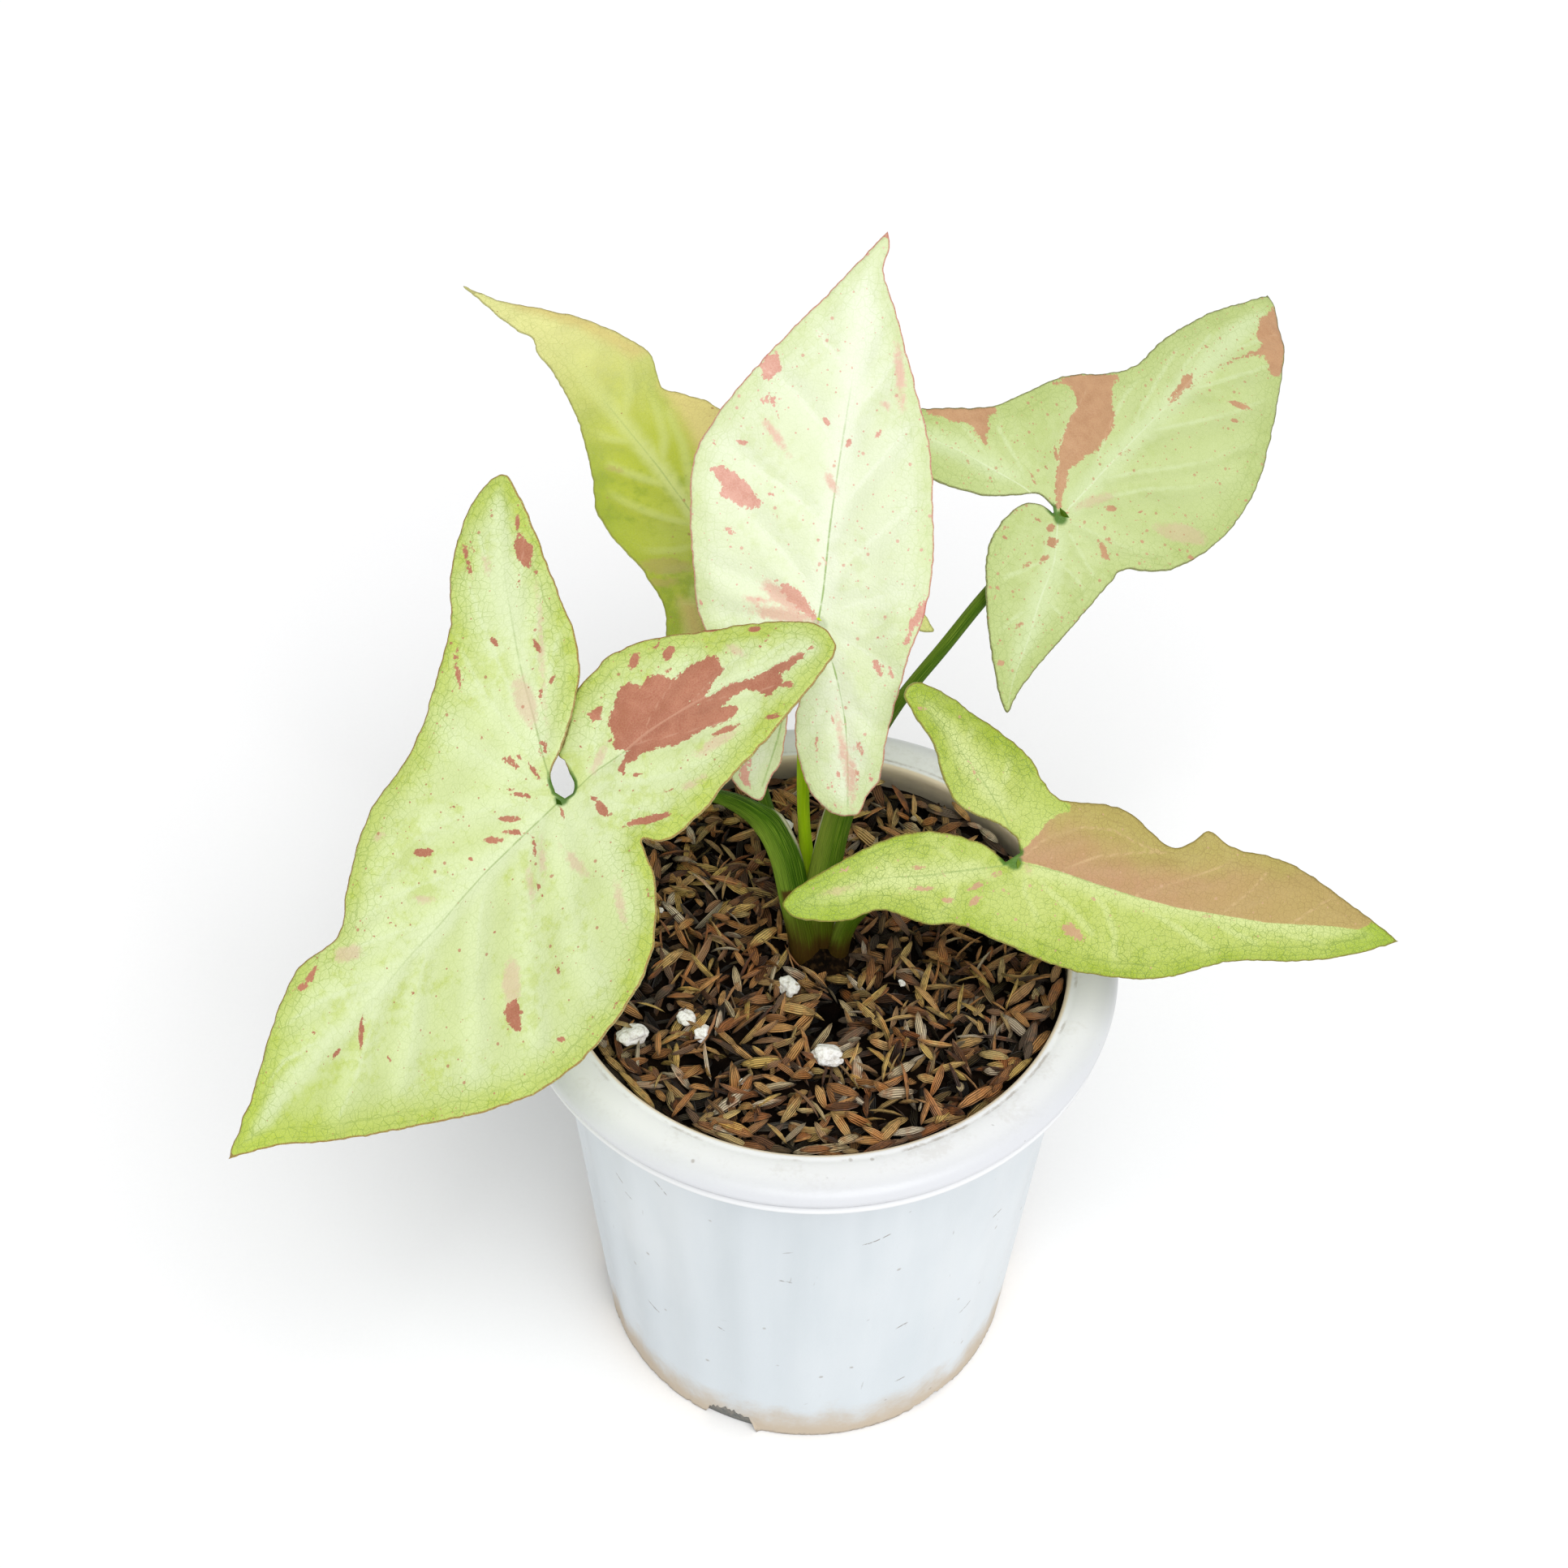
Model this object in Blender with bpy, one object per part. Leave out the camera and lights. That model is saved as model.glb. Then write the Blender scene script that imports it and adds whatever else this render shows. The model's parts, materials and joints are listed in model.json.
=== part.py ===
"""Potted arrowhead plant: five arrow-shaped leaves on sheathed stalks, in husk compost in a fluted white pot.

Metres, +Z up. The origin is the centre of the pot's flat underside.
"""

import math
import random

import bmesh
import bpy
from mathutils import Matrix, Vector, noise
from mathutils.geometry import delaunay_2d_cdt

MM = 0.001

# Pot
POT_HEIGHT = 0.141
BASE_RADIUS = 0.055
WALL_TAPER = 0.0735
WALL_THICKNESS = 0.0027
FLOOR_THICKNESS = 0.003
LIP_RADIUS = 0.0615
RIM_RADIUS = 0.075
BEAD_RADIUS = 0.0705
BEAD_HEIGHT = 0.130
UNDER_RIM = 0.1265
FLUTES = 24
FLUTE_DEPTH = 0.0005
POT_SEGMENTS = 96
DRAIN_NOTCHES = 6
DRAIN_WIDTH = 0.0145
DRAIN_HEIGHT = 0.005
FIRST_DRAIN = -111

# Compost
SOIL_LEVEL = 0.1360
SOIL_GAP = 0.0003
SOIL_SEGMENTS = 60
CROWN_CENTRE = (0.002, 0.0068)
CROWN_HOLE = 0.0125
CROWN_DEPTH = 0.034
HUSK_LENGTH = 0.0125
HUSK_WIDTH = 0.0044
HUSK_SPACING = 0.0102
HUSK_SEED = 7
PERLITE_RADIUS = 0.0030

# Plant
BLADE_THICKNESS = 0.0008
OUTLINE_STEP = 0.0055
GRID_STEP = 0.0085
STALK_SIDES = 10
SEAT_GAP = 0.0003
SHEATH_FADE = 0.15

# Each leaf: where its stalk joins the blade (mm), how far and which way the blade leans (degrees),
# how far its midrib is turned from straight uphill, and its curves: tip droop, lobe droop, fold
# along the midrib and edge wave. Outline points are (across, along the midrib) in mm, from the
# notch at the stalk round one lobe and up to the tip, for the right and the left half.
LEAVES = {
    "front_left": {
        "joint": (-57.7, -9.9, 203.0),
        "lean": 30,
        "lean_towards": 229,
        "turn": -172,
        "length": 110,
        "lobe": 75,
        "half_width": 48,
        "tip_droop": 12,
        "lobe_droop": (4, 3),
        "fold": (5, 5),
        "wave": 2.0,
        "wave_length": 62,
        "phase": 0.6,
        "right": [
            (2.5, 0), (5, -1), (7, -3), (8, -7), (9, -9.5), (12.5, -15.5), (15.5, -20), (20, -24.5),
            (26, -28.5), (36.5, -33),
            (49.5, -38.5), (64, -44.5), (67.5, -45), (70, -42), (70, -33), (61.5, -20.5), (50, -11),
            (42.5, 0), (36, 15), (34, 32.5), (27, 46.5), (19.5, 58), (22, 69.5), (18, 84), (11.5, 99), (7, 113),
        ],
        "left": [
            (-0.5, -0.5), (-1, -2.5), (0.5, -4.5), (3.5, -5.5), (7, -7.5), (8, -10), (11.5, -16), (14.5, -20.5),
            (15.5, -24), (16, -30), (13, -37.5), (5, -47), (-7, -60),
            (-15.5, -66.5), (-21.5, -67), (-25, -65), (-27, -57.5), (-28.5, -44.5), (-28.5, -29),
            (-29, -17.5), (-26.5, -8.5), (-23, -6), (-31.5, -2), (-37, 2), (-46.5, 12.5), (-50, 27.5),
            (-47, 44), (-39.5, 59), (-26.5, 75.5), (-11, 92.5), (-1.5, 101.5), (7, 113),
        ],
    },
    "centre": {
        "joint": (-0.6, 31.4, 218.0),
        "lean": 50,
        "lean_towards": 266,
        "turn": 6,
        "length": 90,
        "lobe": 46,
        "half_width": 28,
        "tip_droop": 9,
        "lobe_droop": (5, 5),
        "fold": (3, 3),
        "wave": 1.2,
        "wave_length": 55,
        "phase": 0.4,
        "right": [
            (1, -1.5), (-0.5, -9.5), (-2, -21.5), (-0.5, -29.5), (4.5, -39), (10.5, -43), (16, -42),
            (17.5, -37), (19.5, -33.5), (19.5, -24), (20.5, -12), (21.5, -3), (23, 5), (23.5, 15), (21.5, 28),
            (18, 44), (13, 55.5), (6, 71), (0.5, 82.5), (1, 87), (0, 90.5),
        ],
        "left": [
            (-1.5, -1), (-3, -9.5), (-3.8, -19.5), (-3.5, -27), (-4, -34.5), (-5.5, -37.5), (-7, -43),
            (-11.5, -41.5), (-14.5, -38.5), (-18.5, -28), (-21, -17), (-24, -9), (-28.5, 0), (-31.5, 12.5),
            (-33.5, 22.5), (-34.5, 33.5), (-30, 45.5), (-20.5, 61), (-10.5, 75), (-2.5, 87), (0, 90.5),
        ],
    },
    "back_right": {
        "joint": (57.3, 74.7, 213.0),
        "lean": 32,
        "lean_towards": 308,
        "turn": 74,
        "length": 88,
        "lobe": 60,
        "half_width": 36,
        "tip_droop": 7,
        "lobe_droop": (6, 7),
        "fold": (3, 3),
        "wave": 1.5,
        "wave_length": 50,
        "phase": 0.0,
        "right": [
            (-1.5, -0.5), (-5, -1), (-8, -3.5), (-9.5, -7.5), (-8.5, -17.5), (-4.5, -24), (2, -31), (13, -41),
            (19, -45.5), (22.5, -47), (21.5, -43), (20.5, -35.5), (20, -19), (19.5, -3), (19.5, 1), (27.5, 9.5),
            (32.5, 27), (31.5, 43), (25.5, 60.5), (17.5, 79.5), (13, 87.5), (3, 97), (0.5, 98),
        ],
        "left": [
            (-3, 1), (-7.5, 0.5), (-11.5, -4.5), (-16.5, -10.5), (-28.5, -18.5), (-38.5, -21.5), (-46.5, -21.5),
            (-48, -18.5), (-46.5, -13), (-42, -6.5), (-30.5, 7.5), (-27.5, 15.5), (-23, 29), (-14.5, 42),
            (-12, 48.5), (-11.5, 60), (-7, 79.5), (-2.5, 90.5), (0.5, 98),
        ],
    },
    "front_right": {
        "joint": (44.4, -12.7, 187.0),
        "lean": 36,
        "lean_towards": 285,
        "turn": 112,
        "length": 92,
        "lobe": 55,
        "half_width": 22,
        "tip_droop": 6,
        "lobe_droop": (3, -3),
        "fold": (-3, -2),
        "wave": 2.2,
        "wave_length": 42,
        "phase": 1.2,
        "right": [
            (0.5, -2), (-2, -6.5), (-3, -11), (-3, -20), (-1, -26.5), (2.5, -32.5), (12, -44), (16.5, -48.5),
            (19.5, -50), (22, -47.5), (20.5, -35.5), (16.5, -28), (17.5, -16.5), (16.5, -11), (18.5, 0.5),
            (21, 16), (20.5, 33), (18.5, 40.5), (12, 54.5), (8, 73.5), (4.5, 83.5), (-1, 95),
        ],
        "left": [
            (-2.5, 1), (-5, 0), (-7.5, -4), (-10, -14), (-14.5, -18.5), (-23, -23), (-28.5, -29.5), (-32, -32.5),
            (-35, -31), (-34.5, -18.5), (-28, -5), (-23.5, 0.5), (-20, 3), (-16.5, 7.5), (-17.5, 23.5),
            (-11.5, 34.5), (-11, 37), (-13.5, 41), (-16.5, 44), (-14, 50), (-13.5, 65), (-7.5, 80.5), (-1, 95),
        ],
    },
    "back_left": {
        "joint": (-27.2, 79.2, 199.0),
        "lean": 12,
        "lean_towards": 290,
        "turn": -21,
        "length": 100,
        "lobe": 62,
        "half_width": 32,
        "tip_droop": 8,
        "lobe_droop": (4, 4),
        "fold": (4, 4),
        "wave": 2.0,
        "wave_length": 46,
        "phase": 0.3,
        "right": [
            (0.5, -2), (2, -7.5), (6, -19.5), (15, -36.5), (22.5, -49), (27, -53), (27.5, -50), (28, -39),
            (30, -15), (28.5, 8.5), (27.5, 31), (23, 39), (20, 43.5), (20.5, 46), (24.5, 56), (21.5, 73.5),
            (14.5, 85.5), (7, 99), (4, 107.5),
        ],
        "left": [
            (-2, -1), (-5.5, -5.5), (-10.5, -14), (-18, -24), (-27, -33), (-35, -38.5), (-39, -39), (-39, -34.5),
            (-34.5, -26.5), (-27, -16), (-22, -9), (-19.5, 3.5), (-19.5, 15), (-17, 24), (-11, 33.5),
            (-1.5, 52.5), (3.5, 71), (4, 76), (6, 80), (4.5, 88), (4, 107.5),
        ],
    },
}

# Each stalk: its points (mm) from below the compost up to just under its blade, the radius at the
# foot, where the sheath ends, and at the blade, and the share of its length that is sheath.
STALKS = {
    "front_left": {
        "path": [(-2.8, 4.0, 116), (-2.8, 4.0, 134), (-5.6, 9.2, 147), (-8.3, 14.1, 157.5), (-12.1, 16.4, 165.5),
                 (-17.6, 16.2, 172), (-24.6, 13.9, 178.5), (-32.9, 8.4, 186), (-43.6, 0.3, 194.5)],
        "radii": (3.3, 3.1, 1.8),
        "sheath": 0.42,
    },
    "centre": {
        "path": [(-0.2, 9.4, 116), (-0.2, 9.4, 134), (-1.4, 15.5, 146), (-3.1, 20.4, 160), (-3.7, 25.2, 176),
                 (-3.4, 30.5, 191), (-2.2, 36, 203)],
        "radii": (2.4, 1.8, 1.5),
        "sheath": 0.3,
    },
    "back_left": {
        "path": [(-3.6, 11.8, 116), (-3.6, 11.8, 134), (-5.0, 14.4, 143), (-9.2, 21.8, 153.6), (-13.1, 27.1, 163.5),
                 (-16.2, 35.9, 172.5), (-20.1, 50.1, 181.5), (-23.8, 66.0, 190)],
        "radii": (2.6, 1.9, 1.6),
        "sheath": 0.3,
    },
    "back_right": {
        "path": [(2.0, 6.7, 116), (2.0, 6.7, 134), (1.5, 9.2, 147.5), (2.9, 12.7, 157), (4.6, 15.8, 166),
                 (7.1, 19.6, 173.5), (11.4, 25.4, 181), (18.7, 35.0, 189), (29.8, 46.7, 197), (39.5, 56.9, 204)],
        "radii": (3.7, 3.1, 1.6),
        "sheath": 0.36,
    },
    "front_right": {
        "path": [(5.8, 4.2, 116), (5.8, 4.2, 134), (7.8, 5.4, 142), (11.9, 4.5, 150), (18.6, 0.9, 159),
                 (27.4, -4.4, 169), (36.4, -8.4, 176.5)],
        "radii": (3.2, 2.4, 1.9),
        "sheath": 0.3,
    },
}

CROWN_TOP = 0.152

COLOURS = {
    "pot": ((0.86, 0.88, 0.90), 0.38),
    "soil": ((0.26, 0.16, 0.08), 0.95),
    "stem": ((0.22, 0.30, 0.08), 0.55),
    "leaf_front_left": ((0.58, 0.76, 0.30), 0.45),
    "leaf_centre": ((0.72, 0.86, 0.48), 0.45),
    "leaf_back_left": ((0.42, 0.54, 0.12), 0.45),
    "leaf_back_right": ((0.48, 0.68, 0.22), 0.45),
    "leaf_front_right": ((0.46, 0.62, 0.16), 0.45),
    "petiole_front_left": ((0.12, 0.30, 0.05), 0.4),
    "petiole_centre": ((0.24, 0.44, 0.02), 0.4),
    "petiole_back_left": ((0.10, 0.26, 0.04), 0.4),
    "petiole_back_right": ((0.07, 0.24, 0.02), 0.4),
    "petiole_front_right": ((0.10, 0.27, 0.03), 0.4),
}


def clear_scene():
    for obj in list(bpy.data.objects):
        bpy.data.objects.remove(obj, do_unlink=True)


def paint(obj, name):
    colour, roughness = COLOURS[name]
    material = bpy.data.materials.new(name)
    material.use_nodes = True
    shader = material.node_tree.nodes["Principled BSDF"]
    shader.inputs["Base Color"].default_value = (*colour, 1)
    shader.inputs["Roughness"].default_value = roughness
    shader.inputs["Metallic"].default_value = 0
    obj.data.materials.clear()
    obj.data.materials.append(material)


def mesh_object(name, points, faces, smooth=True):
    mesh = bpy.data.meshes.new(name)
    mesh.from_pydata([tuple(point) for point in points], [], faces)
    if smooth:
        mesh.shade_smooth()
        mesh.set_sharp_from_angle(angle=math.radians(40))
    obj = bpy.data.objects.new(name, mesh)
    bpy.context.scene.collection.objects.link(obj)
    return obj


def smooth_curve(points, step):
    """A curve through the points, sampled about every step, with the given points kept."""
    ends = [points[0] * 2 - points[1], *points, points[-1] * 2 - points[-2]]
    curve = []
    for a, b, c, d in zip(ends, ends[1:], ends[2:], ends[3:]):
        times = [0]
        for near, far in ((a, b), (b, c), (c, d)):
            times.append(times[-1] + math.sqrt((far - near).length))
        pieces = max(1, round((c - b).length / step))
        for i in range(pieces):
            t = times[1] + (times[2] - times[1]) * i / pieces
            first = a.lerp(b, (t - times[0]) / (times[1] - times[0]))
            middle = b.lerp(c, (t - times[1]) / (times[2] - times[1]))
            last = c.lerp(d, (t - times[2]) / (times[3] - times[2]))
            low = first.lerp(middle, (t - times[0]) / (times[2] - times[0]))
            high = middle.lerp(last, (t - times[1]) / (times[3] - times[1]))
            curve.append(low.lerp(high, (t - times[1]) / (times[2] - times[1])))
    return [*curve, points[-1]]


def blade_height(leaf, u, v):
    """Height of the blade over its own plane, all in mm."""
    side = 0.5 + 0.5 * math.tanh(u / 12)
    right, left = leaf["lobe_droop"]
    fold_right, fold_left = leaf["fold"]
    fold = side * fold_right + (1 - side) * fold_left
    height = -leaf["tip_droop"] * max(v, 0) ** 2 / leaf["length"] ** 2
    height -= (side * right + (1 - side) * left) * max(-v, 0) ** 2 / leaf["lobe"] ** 2
    height += fold * (math.sqrt(u * u + 36) - 6) / leaf["half_width"]
    turn = 2 * math.pi * v / leaf["wave_length"] + leaf["phase"] + 0.9 * math.tanh(u / 12)
    return height + leaf["wave"] * (u / leaf["half_width"]) ** 2 * math.sin(turn)


def blade_axes(leaf):
    lean, towards, turn = (math.radians(leaf[key]) for key in ("lean", "lean_towards", "turn"))
    normal = Vector((math.sin(lean) * math.cos(towards), math.sin(lean) * math.sin(towards), math.cos(lean)))
    level = Vector((0, 0, 1)).cross(normal).normalized()
    uphill = normal.cross(level)
    along = uphill * math.cos(turn) + level * math.sin(turn)
    return along.cross(normal), along, normal


def blade_point(leaf, u, v, lift=0.0):
    """The point over (u, v) mm, lifted off the blade's mid surface by lift metres."""
    across, along, normal = blade_axes(leaf)
    height = blade_height(leaf, u, v)
    slope_u = blade_height(leaf, u + 0.5, v) - blade_height(leaf, u - 0.5, v)
    slope_v = blade_height(leaf, u, v + 0.5) - blade_height(leaf, u, v - 0.5)
    upward = (normal - across * slope_u - along * slope_v).normalized()
    return (Vector(leaf["joint"]) + across * u + along * v + normal * height) * MM + upward * lift


def blade_outline(leaf):
    """The closed outline, anticlockwise, in mm."""
    step = OUTLINE_STEP / MM
    right = smooth_curve([Vector(p) for p in leaf["right"]], step)
    left = smooth_curve([Vector(p) for p in leaf["left"]], step)
    return right + left[-2::-1]


def inside(point, outline):
    crossings = 0
    for a, b in zip(outline, outline[1:] + outline[:1]):
        if (a.y > point.y) != (b.y > point.y):
            crossings += point.x < a.x + (b.x - a.x) * (point.y - a.y) / (b.y - a.y)
    return crossings % 2 == 1


def edge_distance(point, outline):
    nearest = math.inf
    for a, b in zip(outline, outline[1:] + outline[:1]):
        along = max(0, min(1, (point - a).dot(b - a) / (b - a).length_squared))
        nearest = min(nearest, (point - a.lerp(b, along)).length)
    return nearest


def build_leaf(name, leaf):
    """A blade of even thickness, split into the same triangles above and below."""
    outline = blade_outline(leaf)
    count = len(outline)
    step = GRID_STEP / MM
    inner = []
    rows = int(130 / step)
    for j in range(-rows, rows):
        for i in range(-rows, rows):
            spot = Vector(((i + 0.5 * (j % 2)) * step, j * step * 0.866))
            if inside(spot, outline) and edge_distance(spot, outline) > 0.5 * step:
                inner.append(spot)
    edges = [(i, (i + 1) % count) for i in range(count)]
    flat, _, triangles, *_ = delaunay_2d_cdt(outline + inner, edges, [], 1, 1e-5)
    total = len(flat)
    half = BLADE_THICKNESS / 2
    points = [blade_point(leaf, p.x, p.y, half) for p in flat]
    points += [blade_point(leaf, p.x, p.y, -half) for p in flat]
    faces = [tuple(t) for t in triangles]
    faces += [tuple(total + i for i in reversed(t)) for t in triangles]
    border = {(a, b) for t in triangles for a, b in zip(t, (*t[1:], t[0]))}
    for a, b in sorted(border):
        if (b, a) not in border:
            faces.append((b, a, total + a))
            faces.append((b, total + a, total + b))
    obj = mesh_object(name, points, faces)
    paint(obj, name)
    return obj


def tube(name, path, radii, sides, end_plane=None):
    """A closed tube along the path, whose last ring may lie in a plane given as (point, normal)."""
    frames = []
    side = Vector((1, 0, 0))
    for i, point in enumerate(path):
        ahead = path[min(i + 1, len(path) - 1)]
        behind = path[max(i - 1, 0)]
        axis = (ahead - behind).normalized()
        side = (side - axis * side.dot(axis)).normalized()
        frames.append((point, axis, side, axis.cross(side)))
    points = []
    for (centre, axis, x, y), radius in zip(frames, radii):
        for i in range(sides):
            angle = 2 * math.pi * i / sides
            points.append(centre + (x * math.cos(angle) + y * math.sin(angle)) * radius)
    if end_plane:
        spot, normal = end_plane
        axis = frames[-1][1]
        for i in range(len(points) - sides, len(points)):
            points[i] = points[i] + axis * ((spot - points[i]).dot(normal) / axis.dot(normal))
    faces = []
    for ring in range(len(path) - 1):
        for i in range(sides):
            a, b = ring * sides + i, ring * sides + (i + 1) % sides
            faces.append((a, b, b + sides, a + sides))
    faces.append(tuple(reversed(range(sides))))
    faces.append(tuple(range(len(points) - sides, len(points))))
    return mesh_object(name, points, faces)


def stalk_curve(name):
    """The stalk's smooth centre line and its radius at each point, in metres."""
    stalk = STALKS[name]
    leaf = LEAVES[name]
    top = blade_point(leaf, 0, 3, -BLADE_THICKNESS / 2 - SEAT_GAP)
    normal = (blade_point(leaf, 0, 3) - top).normalized()
    path = [Vector(p) * MM for p in stalk["path"]]
    path += [top - normal * 0.003 + (path[-1] - top).normalized() * 0.003, top]
    curve = smooth_curve(path, 0.0075)
    foot, middle, end = (r * MM for r in stalk["radii"])
    lengths = [0.0]
    for a, b in zip(curve, curve[1:]):
        lengths.append(lengths[-1] + (b - a).length)
    radii = []
    for length in lengths:
        share = length / lengths[-1]
        if share < stalk["sheath"]:
            radii.append(foot + (middle - foot) * share / stalk["sheath"])
        else:
            radii.append(middle + (end - middle) * min(1, (share - stalk["sheath"]) / SHEATH_FADE))
    return curve, radii, (top, normal)


def parted(curve, radii, height):
    """The stalk's foot and the rest of it, cut square to it near the height, a seat's gap apart."""
    i = next(i for i, b in enumerate(curve[1:]) if b.z > height)
    middle = curve[i].lerp(curve[i + 1], 0.5)
    radius = (radii[i] + radii[i + 1]) / 2
    start = middle + (curve[i + 1] - curve[i]).normalized() * SEAT_GAP
    foot = [*curve[: i + 1], middle], [*radii[: i + 1], radius]
    return foot, ([start, *curve[i + 1 :]], [radius, *radii[i + 1 :]])


def build_stalks():
    """The stalks stand on the short crown that their sheaths grow together in."""
    sheaths = []
    for name in STALKS:
        curve, radii, end_plane = stalk_curve(name)
        foot, stalk = parted(curve, radii, CROWN_TOP)
        sheaths.append(tube(f"sheath_{name}", *foot, STALK_SIDES))
        petiole = tube(f"petiole_{name}", *stalk, STALK_SIDES, end_plane)
        paint(petiole, f"petiole_{name}")
    x, y = CROWN_CENTRE
    bottom = SOIL_LEVEL - CROWN_DEPTH + SOIL_GAP
    widths = [(bottom, 0.0085), (bottom + 0.006, CROWN_HOLE - 0.0006), (0.122, CROWN_HOLE - 0.0009), (0.1285, 0.0088)]
    root = tube("stem", [Vector((x, y, z)) for z, _ in widths], [w for _, w in widths], 20)
    fuse(root, sheaths)
    paint(root, "stem")


def fuse(base, pieces):
    """One union of the pieces with the base, which then are gone."""
    group = bpy.data.collections.new(base.name + "_pieces")
    bpy.context.scene.collection.children.link(group)
    for piece in pieces:
        bpy.context.scene.collection.objects.unlink(piece)
        group.objects.link(piece)
    union = base.modifiers.new("Union", "BOOLEAN")
    union.operation = "UNION"
    union.operand_type = "COLLECTION"
    union.collection = group
    union.solver = "EXACT"
    union.use_self = True
    apply_modifiers(base)
    for piece in list(group.objects):
        bpy.data.objects.remove(piece, do_unlink=True)
    bpy.data.collections.remove(group)


def apply_modifiers(obj):
    graph = bpy.context.evaluated_depsgraph_get()
    mesh = bpy.data.meshes.new_from_object(obj.evaluated_get(graph))
    obj.modifiers.clear()
    obj.data = mesh


def inner_radius(z):
    """The pot's inner wall, which runs straight up under the lip."""
    return min(BASE_RADIUS - WALL_THICKNESS + WALL_TAPER * z, LIP_RADIUS)


def turned(name, profile, segments, flute=None):
    """A closed solid turned about Z from (radius, height) points, from the top of its axis to the foot."""
    points = []
    rings = []
    for radius, z in profile:
        if radius == 0:
            rings.append([len(points)])
            points.append(Vector((0, 0, z)))
            continue
        rings.append(list(range(len(points), len(points) + segments)))
        for i in range(segments):
            angle = 2 * math.pi * i / segments
            r = radius - (flute(radius, z, angle) if flute else 0)
            points.append(Vector((r * math.cos(angle), r * math.sin(angle), z)))
    faces = []
    for upper, lower in zip(rings, rings[1:]):
        for i in range(segments):
            j = (i + 1) % segments
            if len(upper) == 1:
                faces.append((upper[0], lower[i], lower[j]))
            elif len(lower) == 1:
                faces.append((upper[i], lower[0], upper[j]))
            else:
                faces.append((upper[i], lower[i], lower[j], upper[j]))
    return mesh_object(name, points, faces)


def build_pot():
    foot = BASE_RADIUS
    wall = [(z, foot + WALL_TAPER * z) for z in (0.113, 0.060, 0.012, 0.004)]
    inner = [(inner_radius(z), z) for z in (FLOOR_THICKNESS, 0.125)]
    profile = [(0, FLOOR_THICKNESS), *inner]
    profile += [
        (LIP_RADIUS, 0.1375),
        (LIP_RADIUS + 0.0005, 0.1398),
        (LIP_RADIUS + 0.0020, 0.1410),
        (LIP_RADIUS + 0.0060, 0.1410),
        (RIM_RADIUS - 0.0030, 0.1400),
        (RIM_RADIUS - 0.0006, 0.1375),
        (RIM_RADIUS, 0.1350),
        (RIM_RADIUS - 0.0012, 0.1325),
        (BEAD_RADIUS + 0.0012, BEAD_HEIGHT + 0.0008),
        (BEAD_RADIUS + 0.0010, BEAD_HEIGHT - 0.0010),
        (BEAD_RADIUS - 0.0010, BEAD_HEIGHT - 0.0022),
        (foot + WALL_TAPER * UNDER_RIM + 0.0012, UNDER_RIM),
        (foot + WALL_TAPER * 0.122, 0.122),
    ]
    profile += [(radius, z) for z, radius in wall]
    profile += [(foot - 0.0007, 0), (0, 0)]

    def flute(radius, z, angle):
        outside = 0.003 < z < 0.12 and radius > foot + WALL_TAPER * z - 0.0005
        return FLUTE_DEPTH * (0.5 - 0.5 * math.cos(FLUTES * angle)) if outside else 0

    pot = turned("pot", profile, POT_SEGMENTS, flute)
    notches = []
    for i in range(DRAIN_NOTCHES):
        angle = math.radians(FIRST_DRAIN + 360 / DRAIN_NOTCHES * i)
        bpy.ops.mesh.primitive_cylinder_add(vertices=20, radius=1, depth=0.022)
        notch = bpy.context.object
        notch.name = f"drain_cutter_{i}"
        shape = Matrix.Diagonal((DRAIN_HEIGHT, DRAIN_WIDTH / 2, 1, 1))
        tilt = Matrix.Rotation(math.radians(90), 4, "Y")
        place = Matrix.Translation((0.052 * math.cos(angle), 0.052 * math.sin(angle), 0))
        notch.data.transform(place @ Matrix.Rotation(angle, 4, "Z") @ tilt @ shape)
        notches.append(notch)
    cut(pot, notches)
    pot.data.shade_smooth()
    pot.data.set_sharp_from_angle(angle=math.radians(40))
    paint(pot, "pot")


def cut(base, cutters):
    for cutter in cutters:
        modifier = base.modifiers.new("Cut", "BOOLEAN")
        modifier.operation = "DIFFERENCE"
        modifier.object = cutter
        modifier.solver = "EXACT"
    apply_modifiers(base)
    for cutter in cutters:
        bpy.data.objects.remove(cutter, do_unlink=True)


def soil_height(x, y):
    """Loose compost: gentle heaps, and a dip round the crown."""
    heap = 0.0014 * noise.noise(Vector((x, y, 0)) / 0.024) + 0.0006 * noise.noise(Vector((x, y, 5)) / 0.009)
    away = math.hypot(x - CROWN_CENTRE[0], y - CROWN_CENTRE[1] + 0.004)
    return SOIL_LEVEL + heap - 0.0045 * math.exp(-((away / 0.016) ** 2))


def husk(x, y, heading, pitch, size):
    """One boat-shaped grain husk, pointed at both ends, sunk by a third of its depth."""
    length, width = HUSK_LENGTH * size, HUSK_WIDTH * size
    sides = 5
    stations = [(-0.26, 0.86), (0.06, 1.0), (0.3, 0.72)]
    points = [Vector((-length / 2, 0, 0))]
    for along, share in stations:
        for i in range(sides):
            angle = 2 * math.pi * i / sides
            points.append(Vector((along * length, 0.5 * width * share * math.cos(angle),
                                  0.36 * width * share * math.sin(angle))))
    points.append(Vector((length / 2, 0, 0)))
    last = len(points) - 1
    faces = []
    for i in range(sides):
        j = (i + 1) % sides
        faces.append((0, 1 + j, 1 + i))
        faces.append((last, last - sides + i, last - sides + j))
        for ring in (1, 1 + sides):
            faces.append((ring + i, ring + j, ring + sides + j))
            faces.append((ring + i, ring + sides + j, ring + sides + i))
    turn = Matrix.Rotation(heading, 3, "Z") @ Matrix.Rotation(pitch, 3, "Y")
    place = Vector((x, y, soil_height(x, y) + 0.10 * width))
    return mesh_object("husk", [place + turn @ p for p in points], faces, smooth=False)


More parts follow.
